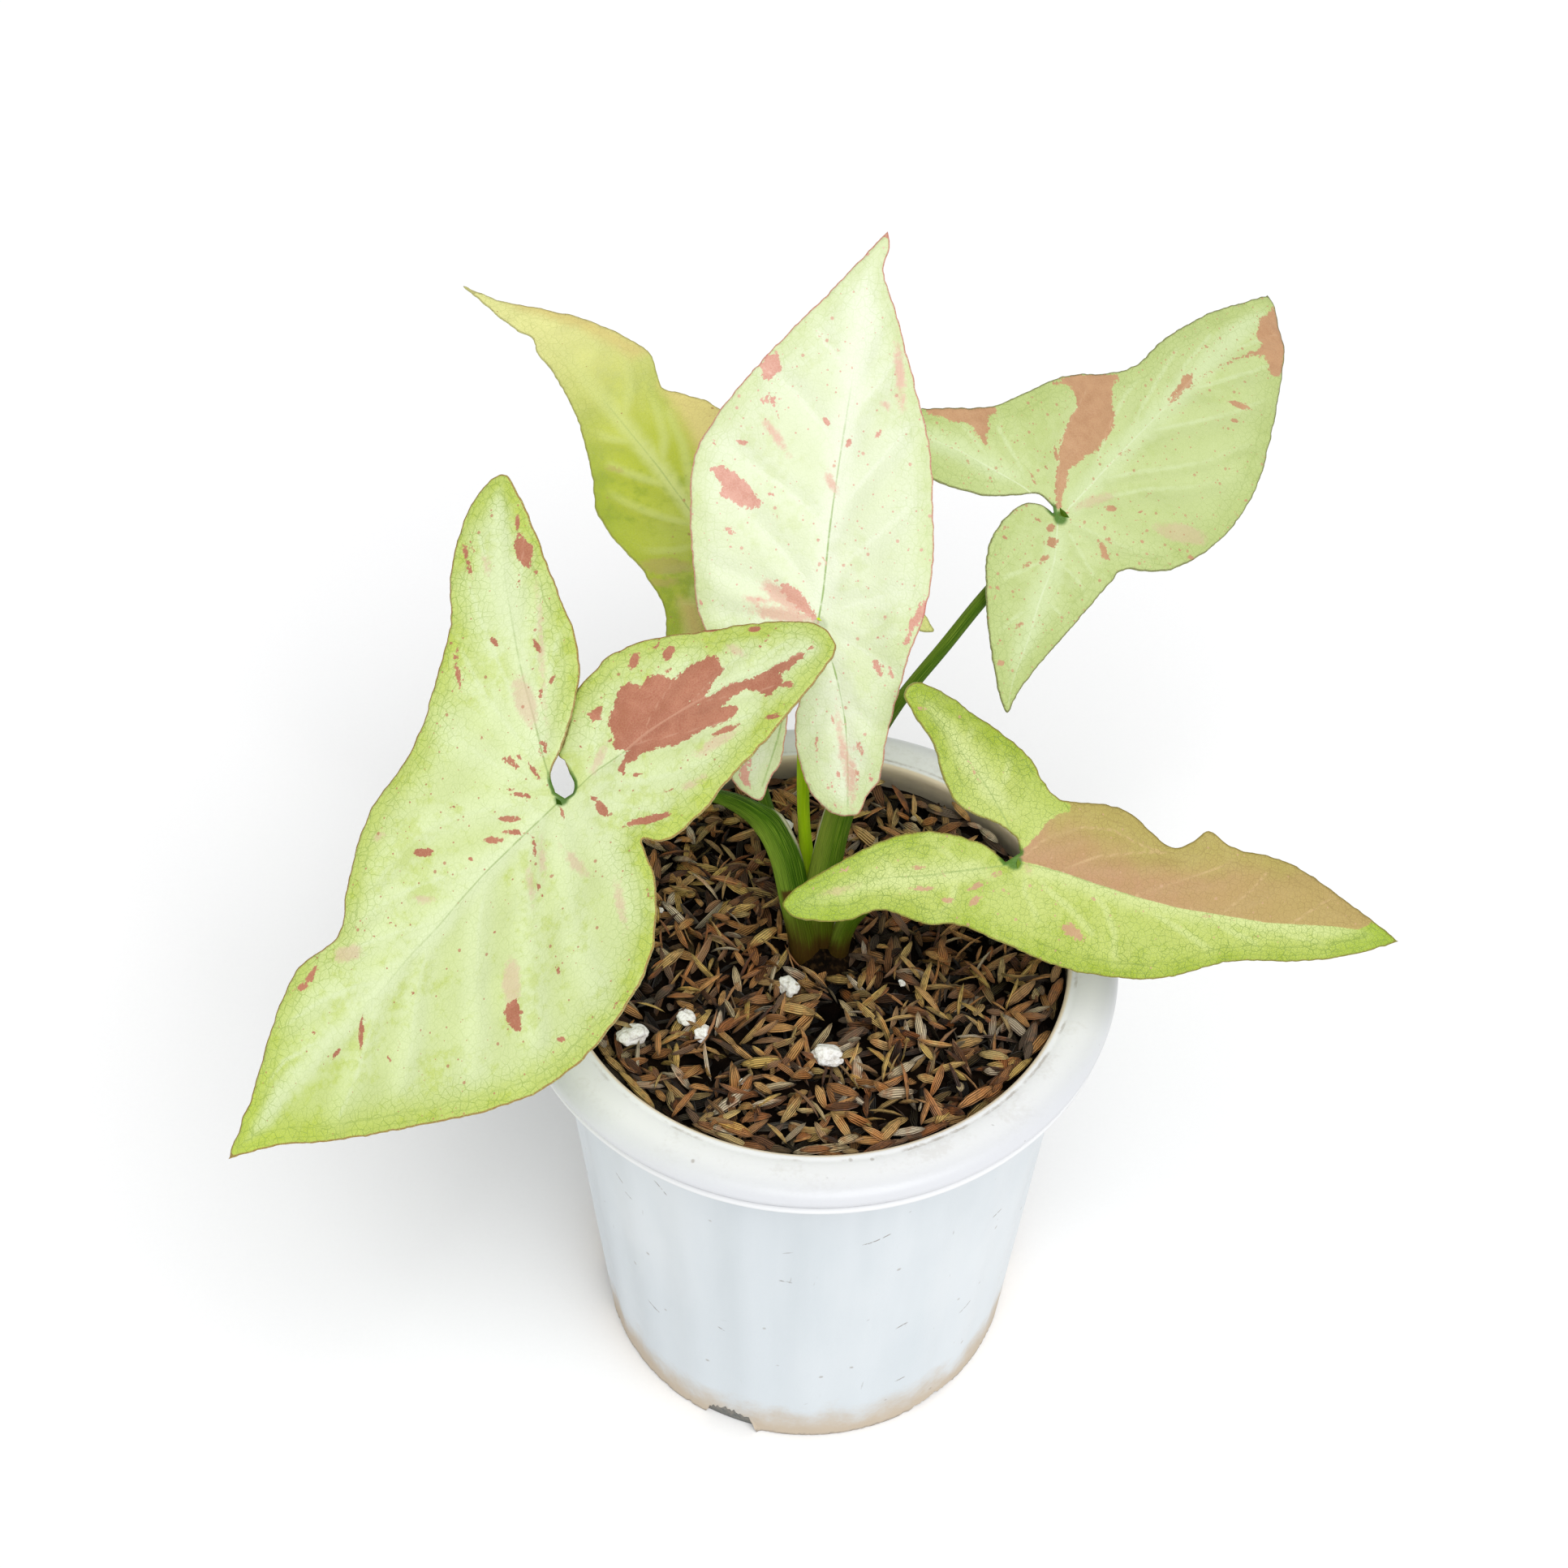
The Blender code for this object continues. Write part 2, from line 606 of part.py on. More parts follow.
def perlite(x, y, radius, seed):
    shape = bmesh.new()
    bmesh.ops.create_icosphere(shape, subdivisions=1, radius=radius)
    for vertex in shape.verts:
        bump = 1 + 0.16 * noise.noise(vertex.co / radius * 1.7 + Vector((seed, 0, 0)))
        vertex.co = vertex.co * bump
        vertex.co.z *= 0.8
        vertex.co += Vector((x, y, soil_height(x, y) + 0.25 * radius))
    mesh = bpy.data.meshes.new("perlite")
    shape.to_mesh(mesh)
    shape.free()
    obj = bpy.data.objects.new("perlite", mesh)
    bpy.context.scene.collection.objects.link(obj)
    return obj


def build_soil():
    rng = random.Random(HUSK_SEED)
    bottom = FLOOR_THICKNESS + SOIL_GAP
    profile = [(0, SOIL_LEVEL)]
    profile += [(r, SOIL_LEVEL) for r in (0.014, 0.025, 0.036, 0.047, 0.055)]
    profile += [(inner_radius(SOIL_LEVEL) - SOIL_GAP, SOIL_LEVEL - 0.0005)]
    profile += [(inner_radius(z) - SOIL_GAP, z) for z in (0.125, bottom)]
    profile += [(0, bottom)]
    soil = turned("soil", profile, SOIL_SEGMENTS)
    for vertex in soil.data.vertices:
        if vertex.co.z > 0.13:
            share = 0.15 if vertex.co.xy.length > 0.058 else 1
            vertex.co.z += (soil_height(vertex.co.x, vertex.co.y) - SOIL_LEVEL) * share

    lumps = [(-43, -27, 1.15), (-30.5, -21.5, 0.75), (-26.5, -26, 0.8), (3.5, -31.5, 1.35), (-6.5, -8, 0.8), (43, 24, 0.7)]
    pieces = [perlite(x * MM, y * MM, PERLITE_RADIUS * size, i) for i, (x, y, size) in enumerate(lumps)]
    taken = [Vector((x * MM, y * MM)) for x, y, _ in lumps]
    limit = inner_radius(SOIL_LEVEL) - 0.0012
    hole = Vector(CROWN_CENTRE)
    for _ in range(2600):
        angle = rng.uniform(0, 2 * math.pi)
        away = (limit - 0.001) * math.sqrt(rng.random())
        heading = rng.uniform(0, math.pi)
        pitch = rng.uniform(-0.12, 0.12)
        size = rng.uniform(0.85, 1.1)
        spot = Vector((away * math.cos(angle), away * math.sin(angle)))
        reach = Vector((math.cos(heading), math.sin(heading))) * HUSK_LENGTH * size / 2
        if max((spot + reach).length, (spot - reach).length) > limit - 0.002:
            continue
        if min((spot + reach * k - hole).length for k in (-1, 0, 1)) < CROWN_HOLE + 0.0025:
            continue
        if any((spot - other).length < HUSK_SPACING for other in taken):
            continue
        taken.append(spot)
        pieces.append(husk(spot.x, spot.y, heading, pitch, size))
    fuse(soil, pieces)

    bpy.ops.mesh.primitive_cylinder_add(vertices=24, radius=CROWN_HOLE, depth=2 * CROWN_DEPTH)
    hole_cutter = bpy.context.object
    hole_cutter.location = (*CROWN_CENTRE, SOIL_LEVEL)
    bpy.context.view_layer.update()
    cut(soil, [hole_cutter])
    paint(soil, "soil")


def main():
    clear_scene()
    build_pot()
    build_soil()
    build_stalks()
    for name, leaf in LEAVES.items():
        build_leaf(f"leaf_{name}", leaf)


main()
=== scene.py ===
import json
import math
import random

import bpy
import numpy as np
from mathutils import Matrix, Vector, noise
from mathutils.geometry import delaunay_2d_cdt

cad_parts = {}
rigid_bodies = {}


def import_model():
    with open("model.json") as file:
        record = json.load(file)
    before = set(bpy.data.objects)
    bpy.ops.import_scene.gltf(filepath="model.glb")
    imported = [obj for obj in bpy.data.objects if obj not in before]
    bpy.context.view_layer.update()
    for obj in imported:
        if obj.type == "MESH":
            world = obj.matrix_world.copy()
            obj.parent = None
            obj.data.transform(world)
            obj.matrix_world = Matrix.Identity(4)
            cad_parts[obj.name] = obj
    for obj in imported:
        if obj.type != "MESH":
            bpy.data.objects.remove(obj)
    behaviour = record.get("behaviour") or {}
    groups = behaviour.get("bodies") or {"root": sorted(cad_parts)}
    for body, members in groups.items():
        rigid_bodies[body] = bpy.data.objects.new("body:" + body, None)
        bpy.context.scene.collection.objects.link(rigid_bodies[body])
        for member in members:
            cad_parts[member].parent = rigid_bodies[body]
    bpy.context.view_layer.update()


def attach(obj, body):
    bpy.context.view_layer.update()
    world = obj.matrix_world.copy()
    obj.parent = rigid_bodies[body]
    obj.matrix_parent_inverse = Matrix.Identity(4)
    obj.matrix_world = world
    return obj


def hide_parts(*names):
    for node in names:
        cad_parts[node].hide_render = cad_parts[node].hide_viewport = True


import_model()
scene = bpy.context.scene
scene.view_settings.view_transform = "Standard"
scene.view_settings.look = "None"
mm = 0.001


# sRGB 0-255 to the linear colour that a socket takes
def tint(colour):
    parts = [c / 255 for c in colour]
    return (*(c / 12.92 if c < 0.04045 else ((c + 0.055) / 1.055) ** 2.4 for c in parts), 1)


# any node of any tree: settings come first, then the values or links of its sockets
def addNode(tree, kind, settings=None, sockets=None):
    made = tree.nodes.new(kind)
    for key, value in (settings or {}).items():
        if key == "stops":
            ramp = made.color_ramp.elements
            while len(ramp) < len(value):
                ramp.new(0.5)
            for stop, (place, colour) in zip(ramp, value):
                stop.position = place
                stop.color = tint(colour)
        else:
            setattr(made, key, value)
    for key, value in (sockets or {}).items():
        if isinstance(value, Wire):
            value = value.socket
        if isinstance(value, bpy.types.NodeSocket):
            tree.links.new(value, made.inputs[key])
        elif made.inputs[key].type == "RGBA":
            made.inputs[key].default_value = tint(value)
        else:
            made.inputs[key].default_value = value
    return made


# a socket that Python sums can be written with
class Wire:
    def __init__(self, tree, socket):
        self.tree = tree
        self.socket = socket

    def maths(self, operation, first, *rest):
        sockets = dict(enumerate((first, *rest)))
        made = addNode(self.tree, "ShaderNodeMath", {"operation": operation}, sockets)
        return Wire(self.tree, made.outputs[0])

    def __add__(self, other):
        return self.maths("ADD", self, other)

    def __sub__(self, other):
        return self.maths("SUBTRACT", self, other)

    def __rsub__(self, other):
        return self.maths("SUBTRACT", other, self)

    def __mul__(self, other):
        return self.maths("MULTIPLY", self, other)

    def __truediv__(self, other):
        return self.maths("DIVIDE", self, other)

    def __pow__(self, other):
        return self.maths("POWER", self, other)

    def __abs__(self):
        return self.maths("ABSOLUTE", self)

    __radd__ = __add__
    __rmul__ = __mul__

    def least(self, other):
        return self.maths("MINIMUM", self, other)

    def most(self, other):
        return self.maths("MAXIMUM", self, other)

    # 0 at start, 1 at end, soft in between
    def fade(self, start, end):
        sockets = {"Value": self, "From Min": start, "From Max": end}
        node = addNode(self.tree, "ShaderNodeMapRange", {"interpolation_type": "SMOOTHSTEP"}, sockets)
        return Wire(self.tree, node.outputs[0])


class Finish:
    def __init__(self, name):
        self.material = bpy.data.materials.new(name)
        self.material.use_nodes = True
        self.tree = self.material.node_tree
        self.tree.nodes.clear()

    def node(self, kind, settings=None, sockets=None, out=0):
        return Wire(self.tree, addNode(self.tree, kind, settings, sockets).outputs[out])

    def attribute(self, name):
        return self.node("ShaderNodeAttribute", {"attribute_name": name}, out="Fac")

    def mapped(self, vector, **sockets):
        return self.node("ShaderNodeMapping", {"vector_type": "POINT"}, {"Vector": vector, **sockets})

    def place(self, scale=(1, 1, 1)):
        return self.mapped(self.node("ShaderNodeTexCoord", out="Object"), Scale=scale)

    def noise(self, vector, scale, detail=3.0, roughness=0.5, out="Fac"):
        return self.node("ShaderNodeTexNoise", {"noise_dimensions": "3D"},
                         {"Vector": vector, "Scale": scale, "Detail": detail, "Roughness": roughness}, out)

    def cells(self, vector, scale, feature="F1", out="Distance", space="3D"):
        return self.node("ShaderNodeTexVoronoi", {"feature": feature, "voronoi_dimensions": space},
                         {"Vector": vector, "Scale": scale}, out)

    def warped(self, vector, scale, amount):
        push = self.node("ShaderNodeVectorMath", {"operation": "SUBTRACT"},
                         {0: self.noise(vector, scale, 2, out="Color"), 1: (0.5, 0.5, 0.5)})
        push = self.node("ShaderNodeVectorMath", {"operation": "SCALE"}, {0: push, "Scale": amount})
        return self.node("ShaderNodeVectorMath", {"operation": "ADD"}, {0: vector, 1: push})

    def mix(self, factor, low, high, mode="MIX"):
        return self.node("ShaderNodeMix", {"data_type": "RGBA", "blend_type": mode, "clamp_factor": True},
                         {0: factor, 6: low, 7: high}, 2)

    def split(self, vector, axis):
        return self.node("ShaderNodeSeparateXYZ", None, {0: vector}, axis)

    def surface(self, colour, roughness, height=None, depth=0.0, strength=1.0, **fixed):
        sockets = {"Base Color": colour, "Roughness": roughness}
        sockets.update({key.replace("_", " "): value for key, value in fixed.items()})
        if height is not None:
            sockets["Normal"] = self.node("ShaderNodeBump", None,
                                          {"Strength": strength, "Distance": depth, "Height": height})
        shader = self.node("ShaderNodeBsdfPrincipled", None, sockets)
        addNode(self.tree, "ShaderNodeOutputMaterial", None, {"Surface": shader})
        return self.material


def meshObject(name, points, faces, material, smooth=True):
    mesh = bpy.data.meshes.new(name)
    mesh.from_pydata([tuple(p) for p in points], [], faces)
    mesh.materials.append(material)
    if smooth:
        mesh.shade_smooth()
    piece = bpy.data.objects.new(name, mesh)
    scene.collection.objects.link(piece)
    return piece


def addValues(mesh, name, values):
    mesh.attributes.new(name, "FLOAT", "POINT").data.foreach_set("value", np.asarray(values, np.float32))


def addUv(mesh, name, pairs):
    corners = np.empty(len(mesh.loops), np.int32)
    mesh.loops.foreach_get("vertex_index", corners)
    mesh.uv_layers.new(name=name).data.foreach_set("uv", np.asarray(pairs, np.float32)[corners].ravel())


# quads between rings of points that follow each other in a mesh, from point base on
def ringFaces(base, rings, sides, flip=False):
    faces = []
    for a in range(base, base + (rings - 1) * sides, sides):
        for k in range(sides):
            j = (k + 1) % sides
            quad = (a + k, a + j, a + sides + j, a + sides + k)
            faces.append((quad[0], *quad[:0:-1]) if flip else quad)
    return faces


# 1 at no distance, dropping to nothing over about two widths
def bell(distance, width):
    return np.exp(-((distance / width) ** 2))


def smoothCurve(points, step):
    ends = [points[0] * 2 - points[1], *points, points[-1] * 2 - points[-2]]
    curve = []
    for a, b, c, d in zip(ends, ends[1:], ends[2:], ends[3:]):
        times = [0]
        for near, far in ((a, b), (b, c), (c, d)):
            times.append(times[-1] + math.sqrt((far - near).length))
        pieces = max(1, round((c - b).length / step))
        for i in range(pieces):
            t = times[1] + (times[2] - times[1]) * i / pieces
            first = a.lerp(b, (t - times[0]) / (times[1] - times[0]))
            middle = b.lerp(c, (t - times[1]) / (times[2] - times[1]))
            last = c.lerp(d, (t - times[2]) / (times[3] - times[2]))
            low = first.lerp(middle, (t - times[0]) / (times[2] - times[0]))
            high = middle.lerp(last, (t - times[1]) / (times[3] - times[1]))
            curve.append(low.lerp(high, (t - times[1]) / (times[2] - times[1])))
    return [*curve, points[-1]]


# camera, floor and light

shot = dict(place=(-0.0082, -0.4214, 0.6624), pitch=47.77, roll=0.94, lens=63.35)
studio = dict(world=(253, 253, 255), worldStrength=0.54, keySun=2.0, keyAngle=42, keyFrom=(0.2, -0.55, 1),
              floor=(252, 252, 252), grain=(249, 249, 249), floorHalf=4)


def setCamera():
    pitch, roll = math.radians(shot["pitch"]), math.radians(shot["roll"])
    forward = Vector((0, math.cos(pitch), -math.sin(pitch)))
    level, up = Vector((1, 0, 0)), Vector((0, math.sin(pitch), math.cos(pitch)))
    right = level * math.cos(roll) + up * math.sin(roll)
    top = up * math.cos(roll) - level * math.sin(roll)
    data = bpy.data.cameras.new("camera")
    data.lens = shot["lens"]
    data.sensor_width = 36
    data.clip_start = 0.01
    camera = bpy.data.objects.new("camera", data)
    turn = Matrix((right, top, -forward)).transposed().to_4x4()
    camera.matrix_world = Matrix.Translation(shot["place"]) @ turn
    scene.collection.objects.link(camera)
    scene.camera = camera


def setStudio():
    world = bpy.data.worlds.new("studio")
    scene.world = world
    world.use_nodes = True
    back = world.node_tree.nodes["Background"]
    back.inputs["Color"].default_value = tint(studio["world"])
    back.inputs["Strength"].default_value = studio["worldStrength"]
    sun = bpy.data.lights.new("key", "SUN")
    sun.energy = studio["keySun"]
    sun.angle = math.radians(studio["keyAngle"])
    key = bpy.data.objects.new("key", sun)
    key.matrix_world = Vector(studio["keyFrom"]).to_track_quat("Z", "Y").to_matrix().to_4x4()
    scene.collection.objects.link(key)
    paper = Finish("studioPaper")
    grain = paper.noise(paper.place(), 900, 2)
    colour = paper.mix(grain, studio["floor"], studio["grain"])
    material = paper.surface(colour, 0.9, grain, 0.0001, 0.2)
    half = studio["floorHalf"]
    corners = [(-half, -half, 0), (half, -half, 0), (half, half, 0), (-half, half, 0)]
    floor = meshObject("floor", corners, [(0, 1, 2, 3)], material, smooth=False)


setCamera()
setStudio()
print("camera and studio set")


# leaves: each is drawn flat, u across and v along from where its stalk joins it. Edges, ribs, veins and
# areas are u, v, u, v in half millimetres; a fleck is u, v, length and width in mm and a heading in degrees

leafFrontLeft = dict(
    name="front_left",
    joint=(-57.7, -9.9, 203), lean=30, leanTowards=229, turn=-172,
    length=110, lobe=75, halfWidth=48, tipDroop=12, lobeDroop=(4, 3), fold=(5, 5),
    wave=2, waveLength=62, phase=0.6, puff=0.6,
    rightEdge=(5, 0, 10, -2, 14, -6, 16, -14, 18, -19, 25, -31, 31, -40, 40, -49, 52, -57, 73, -66, 99, -77,
        128, -89, 135, -90, 140, -84, 140, -66, 123, -41, 100, -22, 85, 0, 72, 30, 68, 65, 54, 93, 39, 116,
        44, 139, 36, 168, 23, 198, 14, 226),
    leftEdge=(-1, -1, -2, -5, 1, -9, 7, -11, 14, -15, 16, -20, 23, -32, 29, -41, 31, -48, 32, -60, 26, -75,
        10, -94, -14, -120, -31, -133, -43, -134, -50, -130, -54, -115, -57, -89, -57, -58, -58, -35, -53,
        -17, -46, -12, -63, -4, -74, 4, -93, 25, -100, 55, -94, 88, -79, 118, -53, 151, -22, 185, -3, 203, 14,
        226),
    ribs=((0, 0, 1, 16, 3, 41, 4, 62, 4, 85, 5, 102, 5, 120, 6, 136, 8, 157, 11, 180, 12, 203, 14, 225), (7,
        0, 22, -8, 39, -18, 57, -28, 78, -41, 100, -55, 120, -71, 133, -84), (-2, -5, -3, -19, -7, -34, -9,
        -48, -15, -69, -23, -88, -32, -106, -41, -126)),
    laterals=((1, 1, 14, 15, 26, 30, 38, 47, 42, 68, 42, 85), (3, 1, 23, 7, 45, 12, 62, 14, 72, 12), (3, 41,
        12, 55, 24, 72, 32, 92, 35, 106), (4, 77, 15, 92, 26, 110, 37, 127), (4, 111, 16, 126, 26, 145, 31,
        161), (6, 141, 14, 158, 21, 175, 21, 190), (-2, 2, -21, 16, -40, 29, -58, 39, -79, 46, -89, 49), (-3,
        -1, -30, 1, -54, 6, -73, 12), (1, 19, -15, 35, -36, 52, -57, 68, -74, 81), (3, 47, -12, 66, -31, 84,
        -50, 101, -60, 112), (4, 85, -8, 103, -22, 120, -35, 138), (5, 120, -6, 138, -16, 159, -20, 172), (27,
        -11, 55, -19, 84, -30, 110, -41), (13, -3, 39, -6, 65, -10, 87, -17), (65, -34, 98, -47, 126, -61),
        (34, -15, 45, -33, 58, -53), (52, -25, 67, -46, 83, -64), (78, -41, 94, -60, 107, -75), (-3, -19, 10,
        -31, 17, -46), (-8, -44, -3, -59, 0, -73, 1, -84), (-15, -69, -14, -88, -17, -104), (-27, -95, -27,
        -111, -30, -121), (-8, -39, -20, -55, -32, -70, -43, -84), (-3, -12, -22, -27, -34, -42, -44, -59),
        (-3, -7, -23, -15, -41, -25), (-17, -73, -31, -87, -41, -101)),
    patches=((-9, -34, -6, -35, -5.2, -40, -8, -52, -12, -66, -15, -76, -20, -78, -17, -64, -12, -47), (-3,
        -32, 3, -36, 9, -39, 13, -47, 16, -54, 14, -60, 9, -60, 10, -66, 8, -70, 0, -73, -1, -80, -2, -85, -6,
        -94, -10, -93, -15, -91, -16, -88, -15, -84, -17, -81, -15, -75, -14, -70, -11, -57, -9, -49, -7, -40,
        -6, -34), (-8, -33, -10, -47, -15, -64, -19, -77, -23, -88, -30, -98, -32, -104, -35, -111, -38, -119,
        -40, -122, -41, -118, -40, -113, -41, -110, -38, -106, -43, -105, -43, -101, -44, -96, -41, -95, -37,
        -94, -31, -91, -29, -83, -29, -78, -35, -84, -37, -81, -36, -75, -30, -66, -27, -58, -25, -53, -19,
        -45, -15, -38, -16, -35, -13, -31, -16, -27, -12, -26, -10, -31), (110, -75, 107, -74, 104, -74, 101,
        -75, 98, -73, 95, -68, 92, -65, 97, -65, 102, -65, 106, -67, 109, -71), (34, 6, 34, 4, 31, 2, 28, 3,
        23, 4, 27, 5, 31, 6), (-52, 83, -51, 79, -53, 76, -60, 79, -65, 84, -64, 86, -58, 86, -55, 86), (37,
        132, 36, 132, 35, 137, 34, 143, 35, 146, 39, 147, 37, 143, 38, 137)),
    tanParts=(),
    flecks=(10.5, -33.5, 4.4, 2.4, -61, 5.5, -40, 3.8, 2.4, -75, 2.5, -37, 1.8, 1, -91, 9, -39.5, 2.4, 1, -91,
        8, -37, 2.4, 0.4, -59, 8, -18.5, 4, 1.6, -160, 8, -19, 4.2, 1.6, -74, -6.5, -49.5, 2, 0.8, -62, -10.5,
        -56, 2.4, 0.6, -90, -6, -57, 3, 1.4, -137, 2, -51, 5.8, 1.4, -127, -20, -62, 1.6, 0.8, -103, -23,
        -52.5, 3.8, 1.4, -142, -26, -45, 4.2, 1.2, -123, -19.5, -36, 6.6, 1.6, -117, -19, -17.5, 3.2, 0.8,
        -125, -10.5, -15.5, 3, 0.8, -133, -20.5, -10, 10.6, 2, -127, -10, -4.5, 5.2, 2.2, 171, -6.5, -5, 2.4,
        1, -158, -3, 2.5, 4.2, 0.8, 154, -17, -5, 1.4, 0.6, -61, 1, -17, 1.4, 0.8, -92, 5, -11.5, 1, 0.6, 169,
        1.5, -10.5, 1.2, 0.6, 114, 61.5, -25, 5.2, 1, 151, 57.5, -23, 5, 1, 153, 61, -27, 4.2, 0.6, 156, 57,
        -38.5, 4.6, 1, 137, 44.5, -33, 1.6, 1, -66, 46, -28.5, 1.8, 1, -49, 38, -29.5, 1.2, 0.6, -70, 37.5,
        -26, 1, 0.6, -76, 39, -15, 2.8, 1.6, 179, 31, -21, 4, 1.4, 162, 26.5, -26, 1, 0.8, -78, 43, -7, 4.2,
        0.8, 132, 39.5, -4, 7.8, 1.2, 146, 22, -17.5, 2.8, 1, -72, 21.5, -13.5, 2.2, 0.8, -50, 29.5, -8, 1.2,
        0.6, -55, 33, -2, 1.4, 0.6, 166, 9.5, 0, 4.8, 1, 169, 11.5, -5.5, 4.4, 1, 133, 13, -5, 3.4, 0.4, 129,
        24.5, 2.5, 2.2, 0.6, 154, 22, 4, 1.2, 0.6, 171, 14.5, 0, 1.4, 0.6, 157, 10.5, 6.5, 2.2, 0.8, -156,
        7.5, 5.5, 4.2, 1.2, -148, 6, 11.5, 5.6, 1.4, -139, 3, 13, 5.8, 1.2, -140, 5.5, 17.5, 4.6, 1.6, -142,
        16.5, 30.5, 5.4, 2, -145, 15, 19.5, 1.8, 0.6, -140, 18.5, 18.5, 1.8, 0.6, -140, 28.5, 27.5, 1.6, 0.4,
        -149, 6.5, 24, 1.2, 0.6, -152, -3.5, 12, 4.4, 1, 147, -11.5, 17.5, 1.6, 0.8, 158, -14, 18.5, 1.6, 0.6,
        158, -11, 31.5, 1, 0.6, -141, -11, 26, 1.2, 0.4, 165, -30.5, 27, 3, 1, 163, -42, 37, 2.2, 1.2, -154,
        -47.5, 23, 2.2, 1, -81, -1, 69.5, 6.8, 1.2, 135, 1, 76.5, 3.2, 1.2, -87, -10, 64.5, 1.8, 0.6, 156,
        -11, 68.5, 1.6, 0.6, 167, -4.5, 54.5, 2, 0.6, 152, -2, 53, 0.8, 0.6, -178, 9, 77.5, 1.2, 0.6, -139,
        12.5, 52, 0.8, 0.4, -139, 11, 47, 1.6, 0.4, -139, -24.5, -3.5, 1, 0.6, 170, -33.5, 1.5, 2.4, 0.6,
        151),
    ghosts=(-23, 36.5, 9.8, 4.2, 138, -9.5, 18.5, 7.4, 1.6, 148, -7.5, 12.5, 6.6, 1.6, 141, -14.5, 8, 8.4,
        2.2, 176, -31, 7.5, 10, 1.8, 150, 14.5, 59, 7.8, 3.4, -129, 28, 35.5, 2.8, 1.6, -129, 9, 38, 4.2, 1.4,
        -146, 23, -10, 12.6, 4.4, 153, 30, -21.5, 21.8, 1, 141, 55.5, -26.5, 4.2, 1.6, 150, -20, -32.5, 9.6,
        2.6, -110, -23, -23, 5, 1.6, -114, 0, -12, 6.6, 1.8, -67, -6.5, -50.5, 4.4, 1.6, -162),
)

